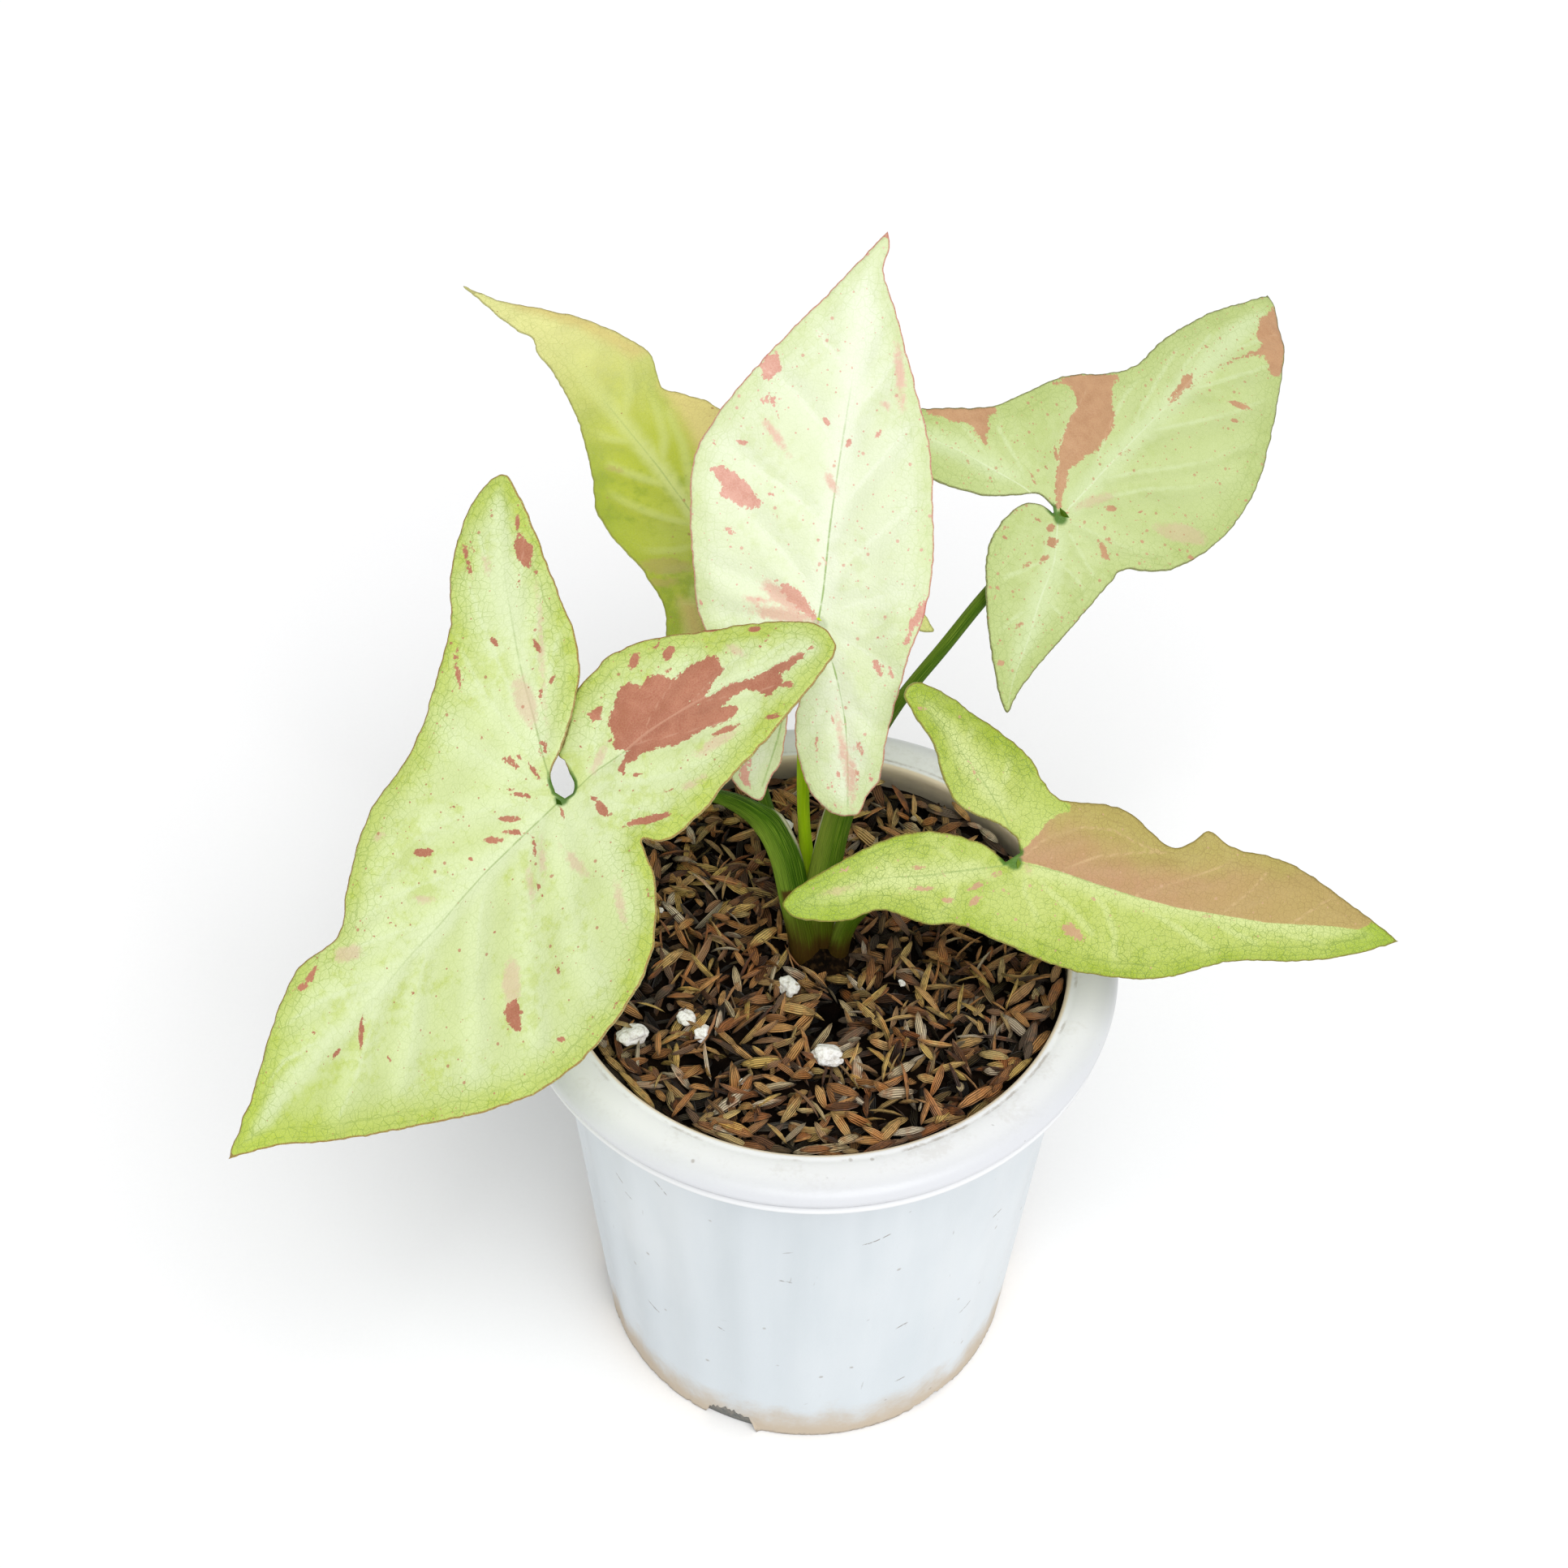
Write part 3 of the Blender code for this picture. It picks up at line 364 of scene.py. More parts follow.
leafCentre = dict(
    name="centre",
    joint=(-0.6, 31.4, 218), lean=50, leanTowards=266, turn=6,
    length=90, lobe=46, halfWidth=28, tipDroop=9, lobeDroop=(5, 5), fold=(3, 3),
    wave=1.2, waveLength=55, phase=0.4,
    rightEdge=(2, -3, -1, -19, -4, -43, -1, -59, 9, -78, 21, -86, 32, -84, 35, -74, 39, -67, 39, -48, 41, -24,
        43, -6, 46, 10, 47, 30, 43, 56, 36, 88, 26, 111, 12, 142, 1, 165, 2, 174, 0, 181),
    leftEdge=(-3, -2, -6, -19, -7.6, -39, -7, -54, -8, -69, -11, -75, -14, -86, -23, -83, -29, -77, -37, -56,
        -42, -34, -48, -18, -57, 0, -63, 25, -67, 45, -69, 67, -60, 91, -41, 122, -21, 150, -5, 174, 0, 181),
    ribs=((-1, 1, -1, 15, -3, 47, -4, 91, -4, 141, 0, 179), (1, -2, 11, -21, 19, -42, 24, -65, 27, -83), (-2,
        -2, -4, -20, -9, -40, -11, -59, -14, -79)),
    laterals=((-2, 45, -13, 51, -29, 60, -45, 68, -60, 74), (-1, 10, -13, 22, -28, 35, -43, 46, -60, 56), (-4,
        82, -18, 93, -31, 104, -45, 111), (-4, 113, -16, 124, -26, 133), (-3, 143, -10, 151, -15, 154), (-1,
        2, -21, 10, -38, 16, -57, 21), (-2, 1, -23, -1, -45, -2), (-3, 47, 7, 66, 19, 85, 29, 102), (-1, 19,
        11, 35, 25, 52, 37, 67), (-4, 84, 4, 106, 15, 126), (-4, 115, 2, 138, 7, 152), (0, 2, 13, 12, 31, 20,
        46, 26), (-2, 155, 0, 166), (2, -4, 20, -7, 38, -15), (16, -33, 29, -40, 39, -48), (14, -28, 6, -41,
        1, -54), (23, -57, 31, -62, 37, -67)),
    patches=((-45, 118, -43, 118, -40, 118, -38, 116, -37, 113, -37, 110, -40, 108, -43, 105, -44, 105, -46,
        109, -46, 113), (-41, 100, -37, 98, -35, 95, -36, 94, -39, 96, -41, 98), (-44, 97, -43, 98, -42, 96,
        -42, 94, -43, 95), (-61, 62, -55, 64, -50, 62, -44, 58, -38, 53, -36, 51, -36, 49, -40, 47, -44, 48,
        -50, 50, -54, 51, -55, 56, -58, 59), (-52, 37, -47, 37, -43, 36, -44, 35, -48, 35, -51, 36), (-25, 18,
        -20, 16, -16, 16, -10, 12, -5, 7, -1, 1, -5, 3, -10, 5, -17, 10, -21, 14), (46, 20, 44, 18, 42, 12,
        40, 8, 41, 4, 40, 1, 40, -3, 42, 0, 43, 6, 46, 11, 47, 16), (27, -11, 30, -11, 32, -15, 32, -18, 29,
        -17, 28, -14), (-25, -76, -25, -71, -23, -67, -22, -65, -21, -68, -22, -73, -20, -78, -18, -82, -20,
        -81, -23, -79)),
    tanParts=(),
    flecks=(18, -8, 3.2, 1.2, -68, -6.5, 46, 3, 1.2, -48, -0.5, 42, 2.2, 1.2, -116, 6, 45, 2.2, 1.2, -126,
        -1.5, 14.5, 2, 0.8, -60, -24.5, 38, 2.4, 1, -2, -30.5, 37, 1.8, 1, -35, 14, -26.5, 3.2, 1.2, -64,
        14.5, -34, 6.2, 0.8, -82, 4, -27.5, 4.8, 0.8, -83, 6.5, -21, 2.4, 0.8, -69, 13, -18, 1.4, 0.8, -69,
        17.5, -33.5, 1.8, 1, 84, 10, -33.5, 2, 0.8, -67, 10.5, -41, 1.6, 0.8, -71, 9, -36, 2.2, 0.6, 88, -11,
        64.5, 1.2, 0.6, -54, -6.5, 62, 1.2, 0.6, -27, -8.5, 57.5, 1, 0.6, -24, -13.5, 50.5, 1, 0.6, -46, -17,
        45, 1, 0.4, -54, -21, 33, 0.8, 0.6, -9, -18.5, 29.5, 1.4, 0.4, -9, -16, 27.5, 2.6, 1, -54, -15, 21, 1,
        0.6, -47, -13.5, 22.5, 1.2, 0.4, -59, -23, 14.5, 0.8, 0.6, 9, 6, 23.5, 1, 0.6, -9, 3.5, 5.5, 1, 0.8,
        -8, 14, -0.5, 1.2, 0.6, -1, 22.5, 11.5, 1.6, 0.6, -64, -3.5, 47.5, 0.8, 0.6, -62, -2.5, 76.5, 1.8,
        0.6, -66, 0.5, 87.5, 1.4, 0.6, -62, -27.5, 0.5, 1.8, 0.6, -61),
    ghosts=(8.5, 58.5, 13.6, 2, -76, -17.5, 41, 7.6, 1.8, -46, -3, 32.5, 4.6, 1.6, -54, -8.5, 1, 14.6, 3, 1,
        -9.5, 5, 11, 3.8, -26, -14.5, 3.5, 5.6, 1.4, 1, 10.5, -28.5, 15.4, 1.6, -72, 13.5, -34, 10.2, 1.4,
        -78, 6.5, 51.5, 1.8, 1.2, -41),
)

leafBackRight = dict(
    name="back_right",
    joint=(57.3, 74.7, 213), lean=32, leanTowards=308, turn=74,
    length=88, lobe=60, halfWidth=36, tipDroop=7, lobeDroop=(6, 7), fold=(3, 3),
    wave=1.5, waveLength=50, phase=0,
    rightEdge=(-3, -1, -10, -2, -16, -7, -19, -15, -17, -35, -9, -48, 4, -62, 26, -82, 38, -91, 45, -94, 43,
        -86, 41, -71, 40, -38, 39, -6, 39, 2, 55, 19, 65, 54, 63, 86, 51, 121, 35, 159, 26, 175, 6, 194, 1,
        196),
    leftEdge=(-6, 2, -15, 1, -23, -9, -33, -21, -57, -37, -77, -43, -93, -43, -96, -37, -93, -26, -84, -13,
        -61, 15, -55, 31, -46, 58, -29, 84, -24, 97, -23, 120, -14, 159, -5, 181, 1, 196),
    ribs=((0, 0, 0, 23, 0, 44, 1, 93, 2, 144, 3, 193), (1, -3, 12, -19, 20, -40, 29, -60, 37, -81, 43, -91),
        (-5, 1, -23, -3, -41, -9, -58, -15, -71, -22)),
    laterals=((-2, 1, -14, 14, -26, 32, -31, 51, -34, 64), (0, 26, -7, 42, -14, 60, -18, 78, -19, 92), (0, 59,
        -7, 78, -12, 104, -15, 123), (1, 95, -6, 119, -7, 145), (2, 135, 1, 158, 2, 176), (1, 2, 9, 26, 21,
        46, 38, 68, 52, 92, 56, 107), (0, 30, 15, 54, 33, 82, 45, 111), (0, 69, 14, 92, 28, 119, 37, 143), (1,
        106, 13, 129, 26, 160), (2, 141, 11, 162, 18, 179), (2, 1, 20, 8, 40, 16, 52, 25), (2, -1, 18, -6, 32,
        -11), (-18, -2, -37, 5, -52, 9), (-36, -7, -54, -5, -66, -4), (-26, -4, -39, -21, -47, -32), (12, -19,
        25, -18, 35, -21), (11, -17, 5, -33, 0, -45), (20, -38, 31, -38, 38, -39), (21, -42, 17, -56, 16,
        -69)),
    patches=((-48, 47, -47, 54, -44, 62, -37, 72, -30, 81, -27, 83, -26, 80, -26, 74, -23, 72, -19, 67, -15,
        65, -12, 60, -10, 53, -10, 48, -9, 42, -11, 36, -12, 32, -12, 27, -13, 22, -11, 18, -8, 15, -7, 10,
        -4, 6, -3, 2, -5, 1, -9, 7, -15, 13, -19, 21, -24, 28, -28, 36, -30, 45, -31, 51, -35, 54, -39, 55,
        -41, 56, -45, 52), (-84, -12, -78, -5, -70, 4, -64, 11, -61, 15, -58, 15, -57, 13, -59, 10, -59, 7,
        -56, 6, -54, 4, -54, 0, -52, 0, -48, -2, -52, -2, -56, -3, -61, -1, -66, -3, -71, -7, -76, -10, -82,
        -13), (8, 193, 16, 186, 23, 180, 28, 172, 32, 164, 33, 159, 31, 155, 28, 155, 25, 160, 21, 161, 18,
        158, 13, 150, 9, 139, 6, 128, 4, 115, 3, 111, 4, 122, 7, 135, 10, 146, 14, 157, 17, 163, 16, 167, 12,
        168, 10, 168, 9, 173, 6, 178, 8, 185, 7, 190), (1, 91, 1, 96, -2, 101, -1, 105, -2, 111, -3, 115, 0,
        118, 2, 117, 3, 112, 2, 105, 2, 98), (20, 6, 22, 7, 26, 5, 31, 1, 29, 0, 24, 2), (3, -17, 3, -12, 6,
        -9, 7, -11, 8, -15, 5, -16)),
    tanParts=(),
    flecks=(-11.5, 11.5, 4, 1.2, -29, 0, -4, 3, 1.6, 70, 4, -11, 2.4, 1.2, 75, 2, -15.5, 2.2, 1, 69, -3.5, -5,
        1.8, 0.8, 22, -1.5, -1, 1, 0.6, 66, -9, -8, 1.8, 1, 40, -8.5, -14.5, 1.2, 0.8, 2, -6.5, -15, 1.2, 0.8,
        2, 7.5, 11.5, 3.6, 1.8, 44, 0.5, 26.5, 4, 0.8, 67, 9, 8, 1, 0.6, 11, 12.5, 5, 1.6, 1, -20, 16.5, 3,
        1.8, 0.8, -34, 0, 1.5, 3.6, 1, 61, 18.5, 10.5, 1.2, 0.8, -4, 14, 62.5, 7, 1.6, 35, 15.5, 57.5, 2.4,
        1.6, 41, -2.5, 69, 1.4, 1, 40, 26.5, 16.5, 1.2, 0.8, -3, 30, 17.5, 2.2, 1.4, 33, 14.5, 14.5, 1.8, 0.6,
        32, 13.5, 16.5, 2, 0.8, 48, -12, 2, 4, 0.6, -13, -11, -1.5, 1, 1, 2, -11, 6.5, 1.6, 0.6, 19, -18.5,
        -13.5, 2, 0.6, 36, 1.5, -28, 1.4, 1, 106, 0.5, -25.5, 1.4, 0.8, -26, 7, -23.5, 1.6, 0.6, 56, 10.5,
        -20, 1.6, 0.6, 56, 10.5, -28.5, 3, 0.8, 83, 15.5, -33.5, 1.2, 0.8, 18, 10, -35, 1.2, 0.8, -3, 13.5,
        -39, 1.8, 1.4, 56, 31, 42, 1.6, 0.6, 75, 31.5, 37, 0.8, 0.6, 20),
    ghosts=(3.5, 10.5, 10.8, 2.4, 65, 24.5, 20.5, 13.8, 5, 38),
)

leafFrontRight = dict(
    name="front_right",
    joint=(44.4, -12.7, 187), lean=36, leanTowards=285, turn=112,
    length=92, lobe=55, halfWidth=22, tipDroop=6, lobeDroop=(3, -3), fold=(-3, -2),
    wave=2.2, waveLength=42, phase=1.2,
    rightEdge=(1, -4, -4, -13, -6, -22, -6, -40, -2, -53, 5, -65, 24, -88, 33, -97, 39, -100, 44, -95, 41,
        -71, 33, -56, 35, -33, 33, -22, 37, 1, 42, 32, 41, 66, 37, 81, 24, 109, 16, 147, 9, 167, -2, 190),
    leftEdge=(-5, 2, -10, 0, -15, -8, -20, -28, -29, -37, -46, -46, -57, -59, -64, -65, -70, -62, -69, -37,
        -56, -10, -47, 1, -40, 6, -33, 15, -35, 47, -23, 69, -22, 74, -27, 82, -33, 88, -28, 100, -27, 130,
        -15, 161, -2, 190),
    ribs=((0, 0, 0, 19, 2, 38, 4, 59, 4, 79, 3, 119, -2, 155, -2, 188), (2, -3, 8, -21, 14, -39, 20, -61, 30,
        -81, 39, -96), (-7, 1, -18, -7, -32, -18, -45, -31, -55, -43, -63, -58)),
    laterals=((-4, 4, -14, 13, -22, 27, -24, 43, -20, 57, -19, 67), (-1, 23, -10, 37, -16, 56, -19, 71), (3,
        59, -7, 77, -17, 95, -22, 102), (2, 102, -10, 113, -21, 120), (1, 135, -9, 146, -15, 153), (0, 8, 9,
        17, 16, 30, 24, 42), (0, 5, 13, 7, 24, 16), (2, 31, 11, 45, 22, 52, 33, 55), (4, 59, 11, 72, 16, 86,
        21, 98), (4, 85, 9, 102, 13, 119), (3, 117, 6, 136, 7, 152), (8, -21, 2, -32, -1, -38), (9, -25, 21,
        -25, 30, -28), (17, -50, 11, -59, 10, -65), (18, -53, 25, -56, 32, -60), (27, -74, 25, -80), (-18, -7,
        -18, -16, -20, -22), (-27, -14, -37, -10, -47, -9), (-40, -27, -40, -33, -43, -38), (-45, -31, -55,
        -29, -62, -27)),
    patches=((23, 25, 22, 31, 24, 36, 27, 39, 29, 38, 28, 34, 26, 28),),
    tanParts=((-1, 1, -5, 1, -9, 5, -16, 9, -22, 12, -26, 17, -28, 22, -32, 21, -33, 15, -37, 28, -38, 47,
        -26, 69, -24, 74, -29, 81, -35, 87, -31, 100, -29, 130, -17, 160, -9, 177, -3, 168, -2, 155, 3, 123,
        4, 99, 5, 79, 4, 59, 2, 39, 0, 23, -1, 10),),
    flecks=(10, -20, 5.4, 1, 99, 6, -15, 2.6, 0.8, 101, 7, -7.5, 4.6, 1.2, 125, 3.5, -3.5, 3.2, 1, 121, 10.5,
        -7.5, 3.4, 1.6, 146, 11.5, -13.5, 2.8, 1, 101, 5.5, -21.5, 3.4, 1, 101, 9.5, -38.5, 3.4, 1, 120, 7,
        -1.5, 1.4, 1, 101, 12.5, 2.5, 1.4, 1, 168, 4.5, 19.5, 1, 0.8, 101, 3, 46.5, 2.2, 0.6, 102, -19, -12.5,
        6.8, 0.6, 39, -30, -27.5, 2.6, 1, 92),
    ghosts=(14, -38, 6.4, 1.4, 116, 0.5, 3, 2.2, 1, 38),
)

leafBackLeft = dict(
    name="back_left",
    joint=(-27.2, 79.2, 199), lean=12, leanTowards=290, turn=-21,
    length=100, lobe=62, halfWidth=32, tipDroop=8, lobeDroop=(4, 4), fold=(4, 4),
    wave=2, waveLength=46, phase=0.3,
    rightEdge=(1, -4, 4, -15, 12, -39, 30, -73, 45, -98, 54, -106, 55, -100, 56, -78, 60, -30, 57, 17, 55, 62,
        46, 78, 40, 87, 41, 92, 49, 112, 43, 147, 29, 171, 14, 198, 8, 215),
    leftEdge=(-4, -2, -11, -11, -21, -28, -36, -48, -54, -66, -70, -77, -78, -78, -78, -69, -69, -53, -54,
        -32, -44, -18, -39, 7, -39, 30, -34, 48, -22, 67, -3, 105, 7, 142, 8, 152, 12, 160, 9, 176, 8, 215),
    ribs=((0, 0, 4, 23, 8, 51, 12, 89, 17, 143, 14, 175, 8, 213), (-4, -2, -16, -14, -31, -27, -50, -46, -70,
        -68), (1, -3, 10, -21, 25, -47, 38, -76, 52, -101)),
    laterals=((4, 22, 16, 36, 26, 54, 33, 74), (8, 50, 22, 64, 31, 82, 40, 100), (12, 86, 28, 99, 39, 117, 42,
        127), (15, 124, 32, 131, 37, 142), (15, 160, 29, 158), (0, 3, 19, 14, 34, 27), (2, 11, -10, 24, -18,
        39, -23, 52), (6, 38, -3, 51, -11, 67), (10, 71, 0, 82, -4, 89), (13, 109, 6, 115), (-3, 1, -19, 6,
        -33, 14, -37, 25), (-15, -12, -22, -4, -32, -1), (-29, -26, -36, -21, -41, -21)),
    patches=(),
    tanParts=((40, 91, 50, 79, 59, 64, 57, 17, 22, 12, 21, 32, 28, 46, 33, 59, 36, 71, 38, 82), (51, 110, 45,
        148, 31, 173, 18, 196, 20, 180, 28, 164, 37, 140, 41, 114), (-35, -19, -29, -26, -39, -47, -50, -46)),
    flecks=(),
    ghosts=(-5, 31.5, 4, 1.6, -55, -14, 0, 13.2, 4.4, -33, -18, -3, 7.2, 2.4, -38),
)


leafMesh = dict(grid=0.95, edgeStep=0.75, thickness=0.7, edgeThickness=0.45, quilt=0.85, quiltWidth=2.6,
                groove=0.3, keel=1.0, ragged=0.26, frill=0.7, sideWidth=12, farOff=9.0, slopeStep=0.4)


def grouped(numbers, size=2, scale=1.0):
    return list(zip(*[iter([n * scale for n in numbers])] * size))


def unpackLeaf(leaf):
    for key in ("rightEdge", "leftEdge"):
        leaf[key] = grouped(leaf[key], scale=0.5)
    for key in ("ribs", "laterals", "patches", "tanParts"):
        leaf[key] = [grouped(line, scale=0.5) for line in leaf[key]]
    for key in ("flecks", "ghosts"):
        leaf[key] = grouped(leaf[key], 5)


def bladeHeight(leaf, u, v):
    side = 0.5 + 0.5 * np.tanh(u / leafMesh["sideWidth"])
    right, left = leaf["lobeDroop"]
    foldRight, foldLeft = leaf["fold"]
    fold = side * foldRight + (1 - side) * foldLeft
    height = -leaf["tipDroop"] * np.maximum(v, 0) ** 2 / leaf["length"] ** 2
    height = height - (side * right + (1 - side) * left) * np.maximum(-v, 0) ** 2 / leaf["lobe"] ** 2
    height = height + fold * (np.sqrt(u * u + 36) - 6) / leaf["halfWidth"]
    turn = 2 * math.pi * v / leaf["waveLength"] + leaf["phase"] + 0.9 * np.tanh(u / leafMesh["sideWidth"])
    return height + leaf["wave"] * (u / leaf["halfWidth"]) ** 2 * np.sin(turn)


def bladeAxes(leaf):
    lean, towards, turn = (math.radians(leaf[key]) for key in ("lean", "leanTowards", "turn"))
    normal = Vector((math.sin(lean) * math.cos(towards), math.sin(lean) * math.sin(towards), math.cos(lean)))
    level = Vector((0, 0, 1)).cross(normal).normalized()
    along = normal.cross(level) * math.cos(turn) + level * math.sin(turn)
    return along.cross(normal), along, normal


def bladePoint(leaf, u, v):
    across, along, normal = bladeAxes(leaf)
    return Vector(leaf["joint"]) + across * u + along * v + normal * float(bladeHeight(leaf, u, v))


# distance of many flat points to open or closed lines
def lineDistance(points, lines, closed=False):
    best = np.full(len(points), 1e3)
    for line in lines:
        ends = [np.array(p, float) for p in line]
        for a, b in zip(ends, ends[1:] + ends[:1] if closed else ends[1:]):
            ab = b - a
            t = np.clip((points - a) @ ab / max(ab @ ab, 1e-9), 0, 1)
            best = np.minimum(best, np.hypot(*(points - a - t[:, None] * ab).T))
    return best


def insideLine(points, line):
    inside = np.zeros(len(points), bool)
    for (ax, ay), (bx, by) in zip(line, list(line[1:]) + [line[0]]):
        if ay != by:
            crosses = (points[:, 1] > ay) != (points[:, 1] > by)
            inside ^= crosses & (points[:, 0] < (bx - ax) * (points[:, 1] - ay) / (by - ay) + ax)
    return inside


# below 0 inside any of the areas, above 0 outside
def areaDistance(points, areas):
    best = np.full(len(points), leafMesh["farOff"])
    for area in areas:
        away = lineDistance(points, [area], closed=True)
        best = np.minimum(best, np.where(insideLine(points, area), -away, away))
    return best


# the same for small lens-shaped marks: middle, length, width, heading
def fleckDistance(points, flecks):
    best = np.full(len(points), leafMesh["farOff"])
    for u, v, length, width, heading in flecks:
        turn = math.radians(heading)
        du, dv = points[:, 0] - u, points[:, 1] - v
        a = (du * math.cos(turn) + dv * math.sin(turn)) / (length / 2)
        b = (dv * math.cos(turn) - du * math.sin(turn)) / (width / 2)
        best = np.minimum(best, (np.sqrt(a * a + b * b) - 1) * min(length, width) / 2)
    return best


def leafOutline(leaf):
    right = smoothCurve([Vector(p) for p in leaf["rightEdge"]], leafMesh["edgeStep"])
    left = smoothCurve([Vector(p) for p in leaf["leftEdge"]], leafMesh["edgeStep"])
    line = right + left[-2::-1]
    ragged = []
    for i, point in enumerate(line):
        sideways = (line[(i + 1) % len(line)] - line[i - 1]).normalized()
        seed = Vector((point.x * 0.55, point.y * 0.55, leaf["phase"]))
        push = leafMesh["ragged"] * noise.noise(seed) + 0.35 * leafMesh["ragged"] * noise.noise(seed * 3.1)
        ragged.append((point.x + sideways.y * push, point.y - sideways.x * push))
    return ragged


def flatPoints(leaf, outline):
    step = leafMesh["grid"]
    low, high = np.min(outline, 0), np.max(outline, 0)
    rows = np.arange(low[1], high[1], step * 0.866)
    columns = np.arange(low[0], high[0], step)
    grid = np.array([(u + (i % 2) * step / 2, v) for i, v in enumerate(rows) for u in columns])
    curves = [smoothCurve([Vector(p) for p in line], step) for line in leaf["ribs"]]
    veins = np.array([tuple(p) for curve in curves for p in curve])
    grid = grid[insideLine(grid, outline)]
    grid = grid[lineDistance(grid, [outline], closed=True) > step * 0.55]
    grid = grid[lineDistance(grid, leaf["ribs"]) > step * 0.5]
    veins = veins[insideLine(veins, outline)]
    veins = veins[lineDistance(veins, [outline], closed=True) > step * 0.5]
    return np.vstack([grid, veins])


# how far each flat point is tucked sideways under the lobe that lies over it
def lobeTuck(leaf, points):
    if "overlap" not in leaf:
        return np.zeros_like(points), np.zeros(len(points))
    line, side, push, drop = leaf["overlap"]
    near = bell(lineDistance(points, [line]), 3.2)
    lower = insideLine(points, side)
    return np.outer(near * lower, push), np.where(lower, -drop, drop) * near


def blankFaces(outline, inner):
    count = len(outline)
    flat = [Vector(p) for p in outline] + [Vector(p) for p in inner]
    border = [(i, (i + 1) % count) for i in range(count)]
    points, _, faces, *_ = delaunay_2d_cdt(flat, border, [], 1, 1e-5)
    points = np.array([tuple(p) for p in points])
    faces = np.array([tuple(f) for f in faces])
    faces = [tuple(int(i) for i in f) for f in faces[insideLine(points[faces].mean(1), outline)]]
    area = sum((points[b][0] - points[a][0]) * (points[c][1] - points[a][1])
               - (points[c][0] - points[a][0]) * (points[b][1] - points[a][1]) for a, b, c in faces)
    return points, faces if area > 0 else [f[::-1] for f in faces]


# how far the skin swells between the veins, how deep its grooves are, and how far the ribs stand out below
def skinRelief(leaf, points, reach, rim, rib, lateral):
    def waves(scale, shift):
        layer = leaf["phase"] + shift
        return np.array([noise.noise(Vector((u * scale, v * scale, layer))) for u, v in points])

    quilt = leafMesh["quilt"] * leaf.get("puff", 1) * (1 - bell(lateral, leafMesh["quiltWidth"]))
    quilt = quilt * (1 - bell(rim, 4)) * (1 - bell(rib, 3))
    lumps, frill = waves(0.11, 0), waves(0.2, 5)
    quilt = quilt * (1 + 0.6 * lumps) + 0.45 * lumps * (1 - bell(rim, 6))
    quilt = quilt + leafMesh["frill"] * frill * bell(rim, 3.5) * (1 - bell(reach, 12))
    taper = np.clip(1 - reach / 125, 0.2, 1)
    groove = leafMesh["groove"] * bell(rib, 0.7) * taper
    keel = (leafMesh["keel"] * bell(rib, 0.9) * taper + 0.18 * bell(lateral, 0.6)) * (1 - bell(rim, 1.5))
    return quilt, groove, keel


def buildLeaf(leaf, material):
    outline = leafOutline(leaf)
    points, faces = blankFaces(outline, flatPoints(leaf, outline))
    rim = lineDistance(points, [outline], closed=True)
    rib = lineDistance(points, leaf["ribs"])
    lateral = lineDistance(points, leaf["laterals"])
    slide, lift = lobeTuck(leaf, points)
    u, v = (points + slide).T
    reach = np.hypot(u, v)
    step = leafMesh["slopeStep"]
    height = bladeHeight(leaf, u, v) + lift
    slopeU = (bladeHeight(leaf, u + step, v) - bladeHeight(leaf, u - step, v)) / (2 * step)
    slopeV = (bladeHeight(leaf, u, v + step) - bladeHeight(leaf, u, v - step)) / (2 * step)
    across, along, normal = (np.array(axis) for axis in bladeAxes(leaf))
    upward = normal - slopeU[:, None] * across - slopeV[:, None] * along
    upward /= np.linalg.norm(upward, axis=1)[:, None]
    quilt, groove, keel = skinRelief(leaf, points, reach, rim, rib, lateral)
    thin, thick = leafMesh["edgeThickness"], leafMesh["thickness"]
    half = (thin + (thick - thin) * np.clip(rim / 3, 0, 1)) / 2
    middle = np.array(leaf["joint"]) + u[:, None] * across + v[:, None] * along + height[:, None] * normal
    top = middle + upward * (quilt - groove + half)[:, None]
    under = middle + upward * (quilt - keel - half)[:, None]
    n = len(points)
    edges = {(a, b): True for f in faces for a, b in zip(f, f[1:] + f[:1])}
    walls = [(a, a + n, b + n, b) for a, b in edges if (b, a) not in edges]
    allFaces = faces + [tuple(i + n for i in f[::-1]) for f in faces] + walls
    piece = meshObject("blade_" + leaf["name"], np.vstack([top, under]) * mm, allFaces, material)
    signs = dict(rim=rim, rib=rib, lateral=lateral, reach=reach,
                 patch=areaDistance(points, leaf["patches"]), fleck=fleckDistance(points, leaf["flecks"]),
                 ghost=fleckDistance(points, leaf["ghosts"]), tanPart=areaDistance(points, leaf["tanParts"]))
    for name, values in signs.items():
        addValues(piece.data, name, np.tile(values, 2))
    addValues(piece.data, "under", np.repeat([0.0, 1.0], n))
    addUv(piece.data, "flat", np.tile(points / 100, (2, 1)))
    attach(piece, "root")
    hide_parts("leaf_" + leaf["name"])


